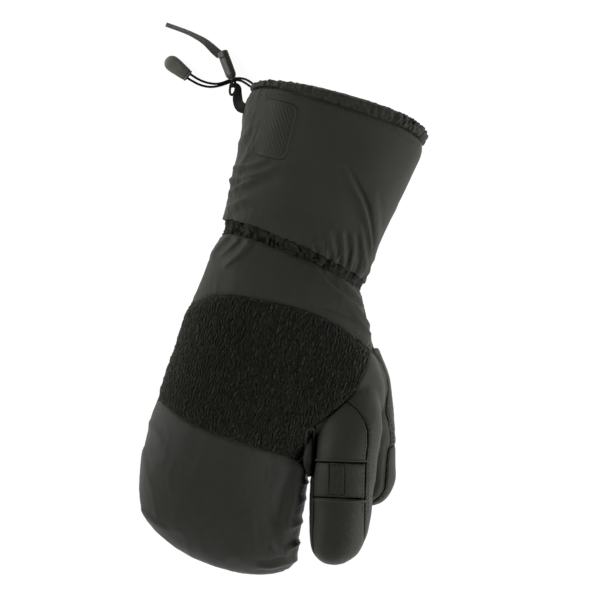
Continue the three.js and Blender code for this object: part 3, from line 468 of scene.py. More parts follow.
def stand_for(pieces):
    """Each piece replaces the solid that it is listed under, and stays with the whole mitten."""
    for node, piece in pieces.items():
        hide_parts(node)
        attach(piece, "root")
    return pieces


def add_shape(bm, other):
    """Adds another bmesh's shape to a bmesh, and frees the other."""
    mesh = bpy.data.meshes.new("part")
    other.to_mesh(mesh)
    other.free()
    bm.from_mesh(mesh)
    bpy.data.meshes.remove(mesh)


def relax(bm, verts):
    bmesh.ops.smooth_vert(bm, verts=verts, factor=0.5, use_axis_x=True, use_axis_y=True, use_axis_z=True)


def shade_smooth(bm):
    for face in bm.faces:
        face.smooth = True


def close_bar(bm):
    """Joins a rolled-up grid along its length and closes its ends."""
    bmesh.ops.remove_doubles(bm, verts=bm.verts, dist=1e-6)
    cap_ends(bm)
    shade_smooth(bm)


def remeshed(shapes, voxel, rounds):
    """One even skin round several closed shapes, relaxed where they meet. It comes back as a bmesh."""
    joined = bmesh.new()
    for shape in shapes:
        add_shape(joined, shape)
    body = object_from(joined, "body")
    remesh = body.modifiers.new("skin", "REMESH")
    remesh.mode = "VOXEL"
    remesh.voxel_size = voxel * MM
    apply_modifiers(body)
    skin = bmesh.new()
    skin.from_mesh(body.data)
    bpy.data.objects.remove(body)
    for _ in range(rounds):
        relax(skin, skin.verts)
    return skin


def places_of(bm):
    return np.array([v.co for v in bm.verts]) / MM


def smooth_normals(bm, rounds):
    """Vertex normals, evened out over their neighbours, as an array."""
    bm.normal_update()
    bm.verts.index_update()
    normals = np.array([v.normal for v in bm.verts])
    ends = np.array([[v.index for v in e.verts] for e in bm.edges])
    for _ in range(rounds):
        total = normals.copy()
        np.add.at(total, ends[:, 0], normals[ends[:, 1]])
        np.add.at(total, ends[:, 1], normals[ends[:, 0]])
        normals = total / np.maximum(np.linalg.norm(total, axis=1, keepdims=True), 1e-9)
    return normals


def move_along_normals(bm, rise, rounds=0):
    """Moves each vertex along its normal by rise, in millimetres."""
    normals = smooth_normals(bm, rounds)
    for vert, normal, step in zip(bm.verts, normals, rise):
        vert.co += Vector(normal) * float(step) * MM


def keep_relief(bm, rise, rounds):
    """Moves each vertex along its normal by rise, and keeps the rise as the attribute "relief", from which
    the cloth and fleece finishes paint shade in hollows and light on ridges.
    """
    move_along_normals(bm, rise, rounds)
    heights = bm.verts.layers.float.new("relief")
    for vert, height in zip(bm.verts, rise):
        vert[heights] = float(height)


def settle(bm):
    """Presses what would sink below the surface that the mitten lies on flat."""
    for vert in bm.verts:
        vert.co.z = max(vert.co.z, 0.0)


# Distances to seams, for arrays of points in millimetres
def to_path(places, path):
    """Distance in plan to a path, positive on its left."""
    x, y = places[:, 0], places[:, 1]
    best = np.full(len(x), 1e9)
    side = np.ones(len(x))
    for (ax, ay), (bx, by) in zip(path, path[1:]):
        dx, dy = bx - ax, by - ay
        share = np.clip(((x - ax) * dx + (y - ay) * dy) / (dx * dx + dy * dy), 0, 1)
        off = np.hypot(x - ax - share * dx, y - ay - share * dy)
        cross = dx * (y - ay) - dy * (x - ax)
        nearer = off < best - 1e-9
        best = np.where(nearer, off, best)
        side = np.where(nearer, np.where(cross >= 0, 1.0, -1.0), side)
    return best * side


def to_outline(places, path):
    """Distance in plan to a closed outline, positive inside."""
    x, y = places[:, 0], places[:, 1]
    inside = np.zeros(len(x), bool)
    for (ax, ay), (bx, by) in zip(path, path[1:] + path[:1]):
        crosses = (ay > y) != (by > y)
        with np.errstate(divide="ignore", invalid="ignore"):
            at = ax + (y - ay) * (bx - ax) / (by - ay)
        inside ^= crosses & (x < at)
    off = np.abs(to_path(places, path + path[:1]))
    return np.where(inside, off, -off)


def to_side_seam(places):
    """Height above the side seam. The free index finger has none."""
    x, y, z = places.T
    above = z - np.interp(y, *zip(*reversed(SIDE_SEAM)))
    return np.where((x > FREE_FINGER["x"]) & (y < FREE_FINGER["y"]), FAR_ABOVE, above)


def on_finger_back(places, distance):
    """A distance that is cut short at the index finger's widest height."""
    return np.minimum(distance, places[:, 2] - np.interp(places[:, 1], *zip(*FINGER_MIDDLE)))


def cut_along(bm, signed, snap=0.25, jump=12):
    """Splits the edges and faces where a signed distance, in millimetres, is nought.

    Where the line crosses an edge within snap of its end, as a share of the edge, the vertex there is moved
    onto the line instead. An edge along which the distance changes by jump or more is left alone."""
    values = {vert: float(value) for vert, value in zip(bm.verts, signed(places_of(bm)))}

    def crosses(edge):
        a, b = (values[vert] for vert in edge.verts)
        return a * b < 0 and abs(a - b) < jump

    on_line = [vert for vert in bm.verts if values[vert] == 0]
    for edge in [e for e in bm.edges if crosses(e)]:
        if not crosses(edge):
            continue
        start, end = edge.verts
        share = values[start] / (values[start] - values[end])
        near = start if share < snap else end if share > 1 - snap else None
        if near is not None:
            near.co = start.co.lerp(end.co, share)
            values[near] = 0.0
            on_line.append(near)
    for edge in [e for e in bm.edges if crosses(e)]:
        start, end = edge.verts
        share = values[start] / (values[start] - values[end])
        made = bmesh.utils.edge_split(edge, start, share)[1]
        values[made] = 0.0
        on_line.append(made)
    bmesh.ops.connect_verts(bm, verts=on_line)


def drop_faces(bm, unwanted):
    """Deletes the faces whose middles unwanted() says yes to."""
    middles = np.array([f.calc_center_median() for f in bm.faces]) / MM
    gone = [f for f, out in zip(list(bm.faces), unwanted(middles)) if out]
    bmesh.ops.delete(bm, geom=gone, context="FACES")


def split(bm, signed):
    """Cuts a bmesh in two where a signed distance is nought: the positive side, then the other."""
    cut_along(bm, signed)
    inside, outside = bm.copy(), bm.copy()
    bm.free()
    drop_faces(inside, lambda middles: signed(middles) <= 0)
    drop_faces(outside, lambda middles: signed(middles) > 0)
    return inside, outside


def beside(path):
    return lambda places: to_path(places, path)


def within(outline):
    return lambda places: to_outline(places, outline)


def fold_rise(folds, places):
    rise = np.zeros(len(places))
    for fold in folds:
        low, high = np.min(fold.path, axis=0), np.max(fold.path, axis=0)
        near = np.all((places[:, :2] > low - FOLD_REACH) & (places[:, :2] < high + FOLD_REACH), axis=1)
        some = places[near]
        aside = to_path(some, smooth_path(fold.path, 24))
        start, end = np.array(fold.path[0]), np.array(fold.path[-1])
        share = np.clip((some[:, :2] - start) @ (end - start) / ((end - start) @ (end - start)), 0, 1)
        width = np.where(aside > 0, fold.gentle, fold.steep)
        ridge = np.exp(-((np.abs(aside) / width) ** 1.7))
        valley = np.exp(-(((aside + 2.4 * fold.steep) / (1.3 * fold.steep)) ** 2))
        strength = smooth_step(share, -0.05, 0.08) * (1 - share**4)
        rise[near] += fold.rise * (ridge - 0.45 * valley) * strength
    return rise


def line_at(row, places):
    """How far along the hand a row's straight line from side to side lies, beside each place."""
    slant = (places[:, 0] - row.left_x) * (row.right_y - row.left_y) / (row.right_x - row.left_x)
    return row.left_y + slant


def beyond(places, row):
    """How far a place lies past a row's line, towards the cuff's mouth."""
    widest = row.base + SIDE_SHARE * (row.top - row.base)
    bow = row.bow * np.clip((places[:, 2] - widest) / (row.top - widest), 0, 1)
    return places[:, 1] - line_at(row, places) - bow


def wrinkle(places, size, stretch=(1, 1, 1), seed=0.0):
    """Smooth noise between about -1 and 1, of the given size in millimetres."""
    sx, sy, sz = (size * s for s in stretch)
    return np.array([noise.noise((x / sx + seed, y / sy - seed, z / sz)) for x, y, z in places])


def creases(places, size, stretch=(1, 1, 1), seed=0.0):
    """Sharp-crested ridges between flat stretches, from 0 to 1."""
    ridge = np.clip(1 - np.abs(wrinkle(places, size, stretch, seed)) * 2.6, 0, 1)
    return ridge**1.5


def pinch(distance, depth, width):
    """How far cloth is drawn in towards a seam."""
    return -depth * np.exp(-((np.abs(distance) / width) ** 1.3))


# The hand: one skin round hand and index finger, cut into panels along the seams
def hand_relief(places):
    above = to_side_seam(places)
    on_top = smooth_step(above, -1, 1)
    finger_side = to_path(places, HAND_EDGE)
    west = smooth_step(-finger_side, -0.5, 0.5)
    north = to_path(places, FLEECE_TOP)
    south = to_path(places, FLEECE_BOTTOM)
    rise = fold_rise(HAND_FOLDS, places) * on_top + HAND_FULLNESS
    rise += pinch(above, 1.0, 1.8) * (above < FAR_ABOVE)
    rise += pinch(north, 1.5, 4) * on_top
    rise += pinch(south, 1.7, 4) * on_top * west
    rise += pinch(finger_side, 0.4, 1.8) * on_top * smooth_step(-north, 0, 2)
    rise += pinch(to_path(places, INDEX_LEFT), 1.5, 2.6) * smooth_step(places[:, 2], 36, 44)
    rise += pinch(to_path(places, THUMB_ROOT), 1.5, 1.2) * on_top
    nylon = np.maximum(smooth_step(north, 0, 3), smooth_step(-south, 0, 3) * west)
    rise += wrinkle(places, 15, (1, 1.8, 1)) * 0.5 * nylon
    rise += creases(places, 18, (0.8, 1.9, 0.8), 44) * 0.3 * nylon
    rise += creases(places, 7, (0.8, 2, 0.8), 51) * 0.1 * nylon
    puckers = np.exp(-np.minimum(np.abs(north), np.abs(south)) / 5)
    rise += wrinkle(places, 3.2, (1, 1.3, 1), 5) * 0.3 * puckers * nylon
    past_wrist = beyond(places, WRIST_ROWS[-1])
    gathers = np.exp(-np.abs(past_wrist) / 4)
    rise += (creases(places, 4, (1, 3.5, 1), 61) * 0.5 + wrinkle(places, 3, (1, 3, 1), 66) * 0.4) * gathers
    rise += wrinkle(places, 9, (1, 1, 1), 9) * 0.25 * (1 - nylon)
    under = smooth_step(past_wrist, -2.5, 1.5)
    return rise * (1 - under) - 1.8 * under


def slot_relief(places):
    """The slot inside the folded leather between the pocket and the index finger."""
    depth = 2.5
    inside = to_outline(places, CROTCH_FOLD[2:-2])
    return -depth * smooth_step(inside, 0.2, 1.4) * smooth_step(places[:, 2], 30, 36)


def fill_pocket_edge(bm):
    """Lifts the pocket's back beside the index finger, so that it stays flat up to the gap."""
    x, y, z = places_of(bm).T
    lift = POCKET_EDGE["lift"] * np.exp(-(((x - POCKET_EDGE["x"]) / POCKET_EDGE["width"]) ** 2))
    lift *= smooth_step(z, *POCKET_EDGE["heights"])
    lift *= smooth_step(-y, *POCKET_EDGE["start"]) * (1 - smooth_step(-y, *POCKET_EDGE["end"]))
    for vert, step in zip(bm.verts, lift):
        vert.co.z += float(step) * MM


def hand_skin():
    hand = closed_body(HAND_ROWS, 220, 260)
    fill_pocket_edge(hand)
    return remeshed([hand, closed_body(INDEX_ROWS, 110, 170)], SKIN_VOXEL, 4)


def open_wrist(bm):
    """Opens the skin where it goes in under the wrist band."""
    first = HAND_ROWS[0]
    low, rise, inwards = 18, 24, 1.5

    def signed(places):
        bow = first.bow * np.clip((places[:, 2] - low) / rise, 0, 1)
        return places[:, 1] - (line_at(first, places) + bow - inwards)

    cut_along(bm, signed)
    drop_faces(bm, lambda middles: signed(middles) > 0)


def boundary_rings(bm):
    """The vertices on the open edges, and those one step in."""
    edge = {v for v in bm.verts if v.is_boundary}
    second = {e.other_vert(v) for v in edge for e in v.link_edges} - edge
    return edge, second


def as_panel(bm, name, finer=0, relief=None, turned=TURNED_IN):
    """A panel with turned-in edges, made finer and given its own relief first."""
    bmesh.ops.triangulate(bm, faces=bm.faces)
    for _ in range(finer):
        bmesh.ops.subdivide_edges(bm, edges=bm.edges, cuts=1, use_grid_fill=True)
        relax(bm, [v for v in bm.verts if not v.is_boundary])
    if relief is not None:
        keep_relief(bm, relief(places_of(bm)), 3)
    edge, second = boundary_rings(bm)
    normals = smooth_normals(bm, 3)
    for vert in edge:
        vert.co -= Vector(normals[vert.index]) * turned * MM
    for vert in second:
        vert.co -= Vector(normals[vert.index]) * turned * 0.3 * MM
    settle(bm)
    shade_smooth(bm)
    panel = object_from(bm, name)
    wall = panel.modifiers.new("wall", "SOLIDIFY")
    wall.thickness = WALL * MM
    wall.offset = -1
    return panel


def pile_relief(places):
    """Short wavy pile that runs along the hand, more curly at the little finger's side."""
    x = places[:, 0]
    curl = smooth_step(-x, 35, 75)
    sway = wrinkle(places, 5, (1, 1.2, 4), 3) * 1.7 + wrinkle(places, 2.1, (1, 1.2, 4), 13) * 0.8
    rows = np.sin((x + sway) * 2 * math.pi / 1.7) * (1 - 0.5 * curl)
    broken = wrinkle(places, 1.25, (0.85, 2.2, 2), 21) * (1 - curl)
    broken += wrinkle(places, 1.15, (1, 1.1, 1), 57) * curl
    return 1.0 + 0.45 * rows + 0.55 * broken


def make_hand():
    skin = hand_skin()
    move_along_normals(skin, hand_relief(places_of(skin)))
    shell = BVHTree.FromBMesh(skin)
    move_along_normals(skin, slot_relief(places_of(skin)), 3)
    open_wrist(skin)
    upper, palm = split(skin, to_side_seam)
    yoke, lower = split(upper, beside(FLEECE_TOP))
    finger, west = split(lower, beside(HAND_EDGE))
    fleece, pocket = split(west, beside(FLEECE_BOTTOM))
    back, sleeve = split(finger, lambda places: on_finger_back(places, to_outline(places, INDEX_BACK)))
    knuckle, rest = split(back, beside(BAND_SEAMS[0]))
    band, tip = split(rest, beside(BAND_SEAMS[1]))
    tab, sides = split(band, within(TAB))

    def band_relief(places):
        around = pinch(to_outline(places, INDEX_BACK), 0.8, 0.9)
        return around + sum(pinch(to_path(places, seam), 0.9, 0.8) for seam in BAND_SEAMS)

    fine = 1, band_relief, 0.9
    panels = {
        "palm": as_panel(palm, "palm_leather"),
        "back_yoke": as_panel(yoke, "yoke_cloth"),
        "fleece_patch": as_panel(fleece, "fleece_panel", 1, pile_relief, 0.9),
        "finger_pocket": as_panel(pocket, "pocket_cloth"),
        "index_sleeve": as_panel(sleeve, "index_side_leather"),
        "index_knuckle": as_panel(knuckle, "knuckle_leather", *fine),
        "index_band": as_panel(sides, "band_leather", *fine),
        "index_tab": as_panel(tab, "tab_webbing", *fine),
        "index_tip": as_panel(tip, "fingertip_leather", *fine),
    }
    return stand_for(panels), shell


hand_panels, hand_shell = make_hand()


# The cuff: three walls with a smooth inside
def open_loops(bm):
    """The open edges as separate loops, the one nearest the fingers first."""
    left = {e for e in bm.edges if e.is_boundary}
    loops = []
    while left:
        loop, front = [], [next(iter(left))]
        while front:
            edge = front.pop()
            if edge not in left:
                continue
            left.discard(edge)
            loop.append(edge)
            front += [e for v in edge.verts for e in v.link_edges if e in left]
        loops.append(loop)
    return sorted(loops, key=lambda loop: sum(v.co.y for e in loop for v in e.verts) / len(loop))


def along_cuff(places, rows):
    """How far along the rows the places lie, from 0 at the first to 1 at the last."""
    first, last = rows[0], rows[-1]
    start, end = line_at(first, places), line_at(last, places)
    bow = first.bow * np.clip((places[:, 2] - 20) / 35, 0, 1)
    return np.clip((start + bow - places[:, 1]) / (start - end), 0, 1)


def gauntlet_ripple(places):
    return np.exp((along_cuff(places, GAUNTLET_ROWS) - 1) * 30)


def wrist_ripple(places):
    return smooth_step(along_cuff(places, WRIST_ROWS), 0.7, 1)


def ripple_edge(bm, strength):
    """Makes an edge wavy. strength says how strongly, for places in millimetres."""
    places = places_of(bm)
    wave = wrinkle(places, 2.6, (1, 6, 1), 23) * 1.2 + wrinkle(places, 6, (1, 6, 1), 29) * 0.8
    for vert, step in zip(bm.verts, wave * strength(places)):
        vert.co.y += float(step) * MM


def walled_tube(name, rows, around, along, wall, relief, ripple=None):
    """A tube through the rows with relief on its outside and a plain inside."""
    outer = rolled_grid(rows, around, along)
    bmesh.ops.recalc_face_normals(outer, faces=outer.faces)
    keep_relief(outer, relief(places_of(outer)), 2)
    inner = rolled_grid(rows, around, max(along // 4, 6), -wall)
    if ripple is not None:
        ripple_edge(outer, ripple)
        ripple_edge(inner, ripple)
    add_shape(outer, inner)
    finger_end, finger_end_inside, mouth_end, mouth_end_inside = open_loops(outer)
    bmesh.ops.bridge_loops(outer, edges=finger_end + finger_end_inside)
    bmesh.ops.bridge_loops(outer, edges=mouth_end + mouth_end_inside)
    bmesh.ops.recalc_face_normals(outer, faces=outer.faces)
    settle(outer)
    shade_smooth(outer)
    return object_from(outer, name)


def hem_relief(places):
    x, y, z = places.T
    share = along_cuff(places, HEM_ROWS)
    loose = 0.85 + 0.3 * smooth_step(-x, 42, 58) + 0.1 * smooth_step(x, 20, 44)
    ruffles = wrinkle(places, 1.9, (1, 8, 1), 2) * 1.2 + wrinkle(places, 3.4, (1, 5, 1), 8) * 0.8
    ruffles += creases(places, 3, (1, 7, 1), 31) * 0.9 - 0.6
    off = ((y - CORD_EXIT["y"]) / 3.5) ** 2 + ((z - CORD_EXIT["z"]) / 6) ** 2
    swell = 2.6 * np.exp(-off) * smooth_step(-x, 50, 58)
    round_hem = 0.9 * x - 0.43 * y
    stripes = np.sin(round_hem * 2 * math.pi / 2.4) * 0.4 * smooth_step(x, 26, 38)
    seam = 3.2 * np.exp(-(((1 - share) / 0.085) ** 2))
    return (ruffles * loose + stripes) * (0.25 + 0.75 * np.sin(np.pi * share)) + swell - seam


def gauntlet_relief(places):
    x, y, z = places.T
    share = along_cuff(places, GAUNTLET_ROWS)
    on_top = smooth_step(z, 18, 32)
    low = np.exp(-(1 - share) * 11) * (0.15 + 0.85 * smooth_step(x, -15, 12))
    rise = fold_rise(GAUNTLET_FOLDS, places) * on_top
    rise += (wrinkle(places, 3.2, (1, 5, 1), 4) * 0.9 + creases(places, 4.2, (1, 4, 1), 12) * 0.8) * low
    rise += wrinkle(places, 17, (1, 1.6, 1), 11) * 0.6
    rise += creases(places, 26, (0.8, 1.5, 0.8), 71) * 1.2 * (1 - on_top)
    side = smooth_step(-x, 50, 60) * smooth_step(z, 10, 18)
    slanted = places - np.outer(y * 0.22, [1, 0, 0])
    rise += creases(slanted, 6, (0.7, 4, 0.7), 83) * 0.45 * side
    rise += pinch(share * 100, 2.6, 1.7)
    rise += wrinkle(places, 3, (1, 2, 1), 19) * 0.4 * np.exp(-share * 25)
    return rise


def wrist_relief(places):
    sway = wrinkle(places, 9, (1, 1, 1), 77) * 6
    slanted = places + np.outer(places[:, 1] * 0.5 + sway, [1, 0, 0])
    rise = wrinkle(slanted, 2.4, (1, 2.6, 1), 6) * 1.6 + wrinkle(slanted, 1.4, (1, 2, 1), 27) * 0.5
    rise += creases(slanted, 2.7, (1, 2.2, 1), 37) * 1.5 - 0.6
    rise *= 1 - 0.5 * smooth_step(places[:, 0], 5, 25)
    rise += fold_rise(GAUNTLET_FOLDS, places) * 0.9 * smooth_step(places[:, 2], 14, 24)
    under = smooth_step(beyond(places, GAUNTLET_ROWS[-1]), -0.5, 1.5)
    return rise * (1 - under) - 1.6 * under


def make_cuff():
    hem = walled_tube("hem_cloth", HEM_ROWS, 420, 36, 4, hem_relief)
    gauntlet = walled_tube("gauntlet_cloth", GAUNTLET_ROWS, 400, 150, 3, gauntlet_relief, gauntlet_ripple)
    wrist = walled_tube("wrist_shirring", WRIST_ROWS, 420, 28, 3, wrist_relief, wrist_ripple)
    return stand_for({"hem_tunnel": hem, "gauntlet": gauntlet, "wrist_elastic": wrist})


cuff_pieces = make_cuff()


# The thumb
def on_thumb_back(places):
    """Distance to the edge of the thumb's upper panels, positive on them."""
    return np.minimum(-to_path(places, THUMB_SEAM), places[:, 2] - THUMB_SEAM_LOW)


def on_thumb_patch(places):
    """Distance to the edge of the patch at the outer side of the thumb's tip, positive on it."""
    outer = np.minimum(to_path(places, THUMB_SEAM), -to_path(places, THUMB_PATCH_SEAM))
    return np.minimum(outer, places[:, 2] - THUMB_PATCH_LOW)


def thumb_relief(places):
    seam = on_thumb_back(places)
    rise = pinch(seam, 1.0, 1.5) + pinch(on_thumb_patch(places), 0.7, 1.3)
    rise += wrinkle(places, 8, (1, 1.4, 1), 14) * 0.35
    bend = np.exp(-(((places[:, 1] + 70) / 14) ** 2))
    rise += wrinkle(places, 4, (2.4, 0.8, 1), 41) * 0.45 * bend
    return rise


def make_thumb(shell):
    """The thumb's three panels, open where they go in under the hand's skin."""
    skin = remeshed([closed_body(THUMB_ROWS, 120, 150)], SKIN_VOXEL * 0.8, 3)
    move_along_normals(skin, thumb_relief(places_of(skin)))
    thumb_shell = BVHTree.FromBMesh(skin)

    def in_hand(middles):
        deep = []
        for middle in middles:
            near, normal, _, _ = shell.find_nearest(Vector(middle) * MM)
            deep.append((Vector(middle) * MM - near).dot(normal) <= -3 * MM)
        return np.array(deep)

    outside = skin.copy()
    skin.free()
    drop_faces(outside, in_hand)
    back, lower = split(outside, on_thumb_back)
    patch, pad = split(lower, on_thumb_patch)
    panels = {
        "thumb_pad": as_panel(pad, "thumb_pad_leather"),
        "thumb_back": as_panel(back, "thumb_back_leather", 1),
        "thumb_patch": as_panel(patch, "thumb_tip_leather", 1),
    }
    return stand_for(panels), thumb_shell


thumb_panels, thumb_shell = make_thumb(hand_shell)


# Swept pieces: straps, folds, welts and cords
def rolled_sweep(rows, around, along, section):
    """A closed bar through StrapRows. section turns an angle, width and thickness into two offsets.

    Its "threads" are the place across, along and through the bar, and its "turn" the cosine and sine of the
    angle round it, then the place along it."""
    path = [StrapRow(*row) for row in smooth_path(rows, along + 1)]
    frames, run = [], 0.0
    for i, row in enumerate(path):
        after, before = path[min(i + 1, along)], path[max(i - 1, 0)]
        forward = (Vector(after[:3]) - Vector(before[:3])).normalized()
        flat = Vector((-forward.y, forward.x, 0)).normalized()
        across = Matrix.Rotation(math.radians(row.roll), 3, forward) @ flat
        run += (Vector(row[:3]) - Vector(path[max(i - 1, 0)][:3])).length
        frames.append((Vector(row[:3]), across, forward.cross(across), run))
    bm = bmesh.new()
    threads = bm.verts.layers.float_vector.new("threads")
    turn = bm.verts.layers.float_vector.new("turn")
    bmesh.ops.create_grid(bm, x_segments=around, y_segments=along, size=1)
    for vert in bm.verts:
        k = round((vert.co.y + 1) / 2 * along)
        middle, across, up, run = frames[k]
        angle = math.pi * (vert.co.x + 1)
        a, b = section(angle, path[k].width, path[k].thickness)
        vert[threads] = (a, run, b)
        vert[turn] = (math.cos(angle), math.sin(angle), run)
        vert.co = (middle + across * a + up * b) * MM
    close_bar(bm)
    return bm


def boxy(angle, width, thickness, squareness=0.35):
    """A flat section with rounded edges."""
    c, s = math.cos(angle), math.sin(angle)
    return (
        width / 2 * math.copysign(abs(c) ** squareness, c),
        thickness / 2 * math.copysign(abs(s) ** squareness, s),
    )


def rounded(squareness):
    return lambda angle, width, thickness: boxy(angle, width, thickness, squareness)


def of_width(path, width):
    """Rows for a bar that is as thick as it is wide."""
    return [StrapRow(x, y, z, width, width, 0) for x, y, z in path]


def make_crotch_fold(shell):
    """The leather folded round the slot beside the index finger, level with the skin outside it."""
    wide, tall = 2.0, 8.0
    aside, rise = 2.2, 0.9  # where the skin's height is taken, and how far the fold stands above it
    path = smooth_path(CROTCH_FOLD, 60)
    heights = []
    for i, (x, y) in enumerate(path):
        (ax, ay), (bx, by) = path[max(i - 1, 0)], path[min(i + 1, len(path) - 1)]
        length = math.hypot(bx - ax, by - ay)
        outside = Vector((x - (by - ay) / length * aside, y + (bx - ax) / length * aside, ABOVE_ALL)) * MM
        hit = shell.ray_cast(outside, DOWN)[0]
        heights.append(hit.z / MM if hit is not None else heights[-1])
    near = [heights[max(i - 3, 0):i + 4] for i in range(len(heights))]
    strap = [
        StrapRow(x, y, sum(some) / len(some) + rise - tall / 2, wide, tall, 0)
        for (x, y), some in zip(path, near)
    ]
    piece = object_from(rolled_sweep(strap, 24, 150, rounded(0.7)), "crotch_leather")
    return stand_for({"crotch_fold": piece})["crotch_fold"]


crotch_piece = make_crotch_fold(hand_shell)



def make_gusset():
    """The leather web between the pocket and the index finger, inside the folded leather."""
    piece = object_from(rolled_sweep(GUSSET_ROWS, 24, 60, rounded(0.7)), "gusset_leather")
    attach(piece, "root")
    return piece


gusset_piece = make_gusset()


# Welts and stitches, laid on the shells under them
def height_on(shell, x, y):
    return shell.ray_cast(Vector((x, y, ABOVE_ALL)) * MM, DOWN)[0].z / MM


def make_welts(shell):
    """The two narrow raised welts across the index finger's back."""
    welts = []
    for number, path in enumerate(BAND_WELTS, 1):
        rows = of_width([(x, y, height_on(shell, x, y)) for x, y in smooth_path(path, 14)], WELT_WIDTH)
        welt = object_from(rolled_sweep(rows, 12, 60, rounded(0.8)), f"finger_welt_{number}")
        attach(welt, "root")
        welts.append(welt)
    return welts




def sew(bm, shell, path, aside):
    """Adds a row of stitches that lie on a shell, aside from a plan path: to its left if that is positive."""
    fine = smooth_path(path, 40 * len(path))
    run = 0.0
    for (ax, ay), (bx, by) in zip(fine, fine[1:]):
        run += math.hypot(bx - ax, by - ay)
        if run < STITCH_PITCH:
            continue
        run = 0.0
        forward = Vector((bx - ax, by - ay, 0)).normalized()
        above = Vector((bx, by, ABOVE_ALL)) + Vector((-forward.y, forward.x, 0)) * aside
        hit, normal, _, _ = shell.ray_cast(above * MM, DOWN)
        if hit is None or normal.z < 0.2:
            continue
        across = normal.cross(forward).normalized()
        turn = Matrix((across.cross(normal), across, normal)).transposed().to_4x4()
        size = Matrix.Diagonal((*(side / 2 * MM for side in STITCH_SIZE), 1))
        place = Matrix.Translation(hit + normal * 0.1 * MM) @ turn @ size
        bmesh.ops.create_uvsphere(bm, u_segments=6, v_segments=5, radius=1, matrix=place)


def make_stitches(hand, cuff, thumb):
    bm = bmesh.new()
    sew(bm, cuff, HEM_STITCHES, 0)
    seams = [(FLEECE_TOP[2:-1], 2.2), (FLEECE_BOTTOM[2:-1], -2.2), (INDEX_BACK[:10], 1.9)]
    seams += [(INDEX_BACK[:10], -1.9), (BAND_SEAMS[0], -1.8), (BAND_SEAMS[1], 1.8)]
    for path, aside in seams:
        sew(bm, hand, path, aside)
    sew(bm, thumb, THUMB_SEAM[5:-2], 1.8)
    shade_smooth(bm)
    piece = object_from(bm, "seam_stitches")
    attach(piece, "root")
    return piece


welt_pieces = make_welts(hand_shell)


# Leash and drawcord
def round_section(angle, width, thickness):
    return width / 2 * math.cos(angle), thickness / 2 * math.sin(angle)


def make_ring():
    """A closed loop of wire, with its two ends overlapping inside the keeper's foot."""
    rows = of_width(RING_PATH + RING_PATH[:2], RING_WIRE)
    return object_from(rolled_sweep(rows, 16, 110, round_section), "ring_wire")


def keeper_section(angle, width, thickness):
    a, b = boxy(angle, width, thickness, 0.55)
    if b > 0:
        off = (a - KEEPER_RIDGE) / (width * 0.28)
        b *= 0.6 + 0.5 * math.exp(-off * off)
    return a, b


def make_leash():
    loop = object_from(rolled_sweep(LOOP_ROWS, 28, 70, boxy), "loop_webbing")
    strap = object_from(rolled_sweep(LEASH_ROWS, 28, 130, boxy), "leash_webbing")
    head, foot = Vector(KEEPER_HEAD), Vector(KEEPER_FOOT)
    forward = (foot - head).normalized()
    rows = [StrapRow(*(head + forward * along), *sides, 0) for along, *sides in KEEPER_SECTIONS]
    keeper = object_from(rolled_sweep(rows, 48, 120, keeper_section), "keeper_body")
    pieces = {"leash_loop": loop, "leash_strap": strap, "leash_keeper": keeper, "leash_ring": make_ring()}
    return stand_for(pieces)


def make_cord_end():
    """The moulded end: a rounded flat body with a collar at its root and shallow finger ribs."""
    end = CORD_END
    bm = bmesh.new()
    bmesh.ops.create_grid(bm, x_segments=56, y_segments=72, size=1)
    turn = Matrix.Rotation(math.radians(end["turn"]), 3, "Z")
    root = Vector((*end["root"], 0))
    for vert in bm.verts:
        along = (vert.co.y + 1) / 2 * end["length"]
        angle = math.pi * (vert.co.x + 1)
        rounding = max(0.0, 1 - (end["length"] - along) / (end["head_width"] / 2))
        taper = math.sqrt(max(1 - rounding**2, 0.0004))
        width = end["root_width"] + (end["head_width"] - end["root_width"]) * min(along / 12, 1)
        height = end["height"] * (0.8 + 0.2 * min(along / 8, 1))
        ribbed = end["ribs"][0] < along < end["ribs"][1]
        rib = end["rib_rise"] * math.sin(2 * math.pi * along / end["rib_pitch"]) if ribbed else 0.0
        collar = -end["collar_depth"] if end["collar"][0] < along < end["collar"][1] else 0.0
        start = 0.75 if along < 0.3 else 1.0
        wide = (width + collar) * taper * start
        a, b = boxy(angle, wide, (height + collar + rib) * taper**0.6 * start, 0.55)
        if b > 0:
            off = (abs(a) / (width / 2 * taper) - end["groove_place"]) / end["groove_width"]
            b -= end["groove_depth"] * math.exp(-(off**2))
        vert.co = (root + turn @ Vector((along, a, 0)) + Vector((0, 0, end["height"] / 2 + b))) * MM
    close_bar(bm)
    return stand_for({"cord_end": object_from(bm, "cord_end_body")})["cord_end"]


def make_drawcord(cord_end):
    """The upper strand runs from the hem to the moulded end, and the lower one from there into the hem."""
    runs = [
        ("drawcord_upper", UPPER_CORD, "fitting", [cord_end]),
        ("drawcord_lower", LOWER_CORD[::-1], "object", []),
    ]
    pieces = []
    for node, path, far_end, carried in runs:
        bm = rolled_sweep(of_width(path, CORD_DIAMETER), 16, 160, round_section)
        cord = object_from(bm, node.replace("drawcord", "elastic_cord"))
        stand_for({node: cord})
        pieces.append(cord)
    return pieces


leash_pieces = make_leash()
cord_end_piece = make_cord_end()
cords = make_drawcord(cord_end_piece)


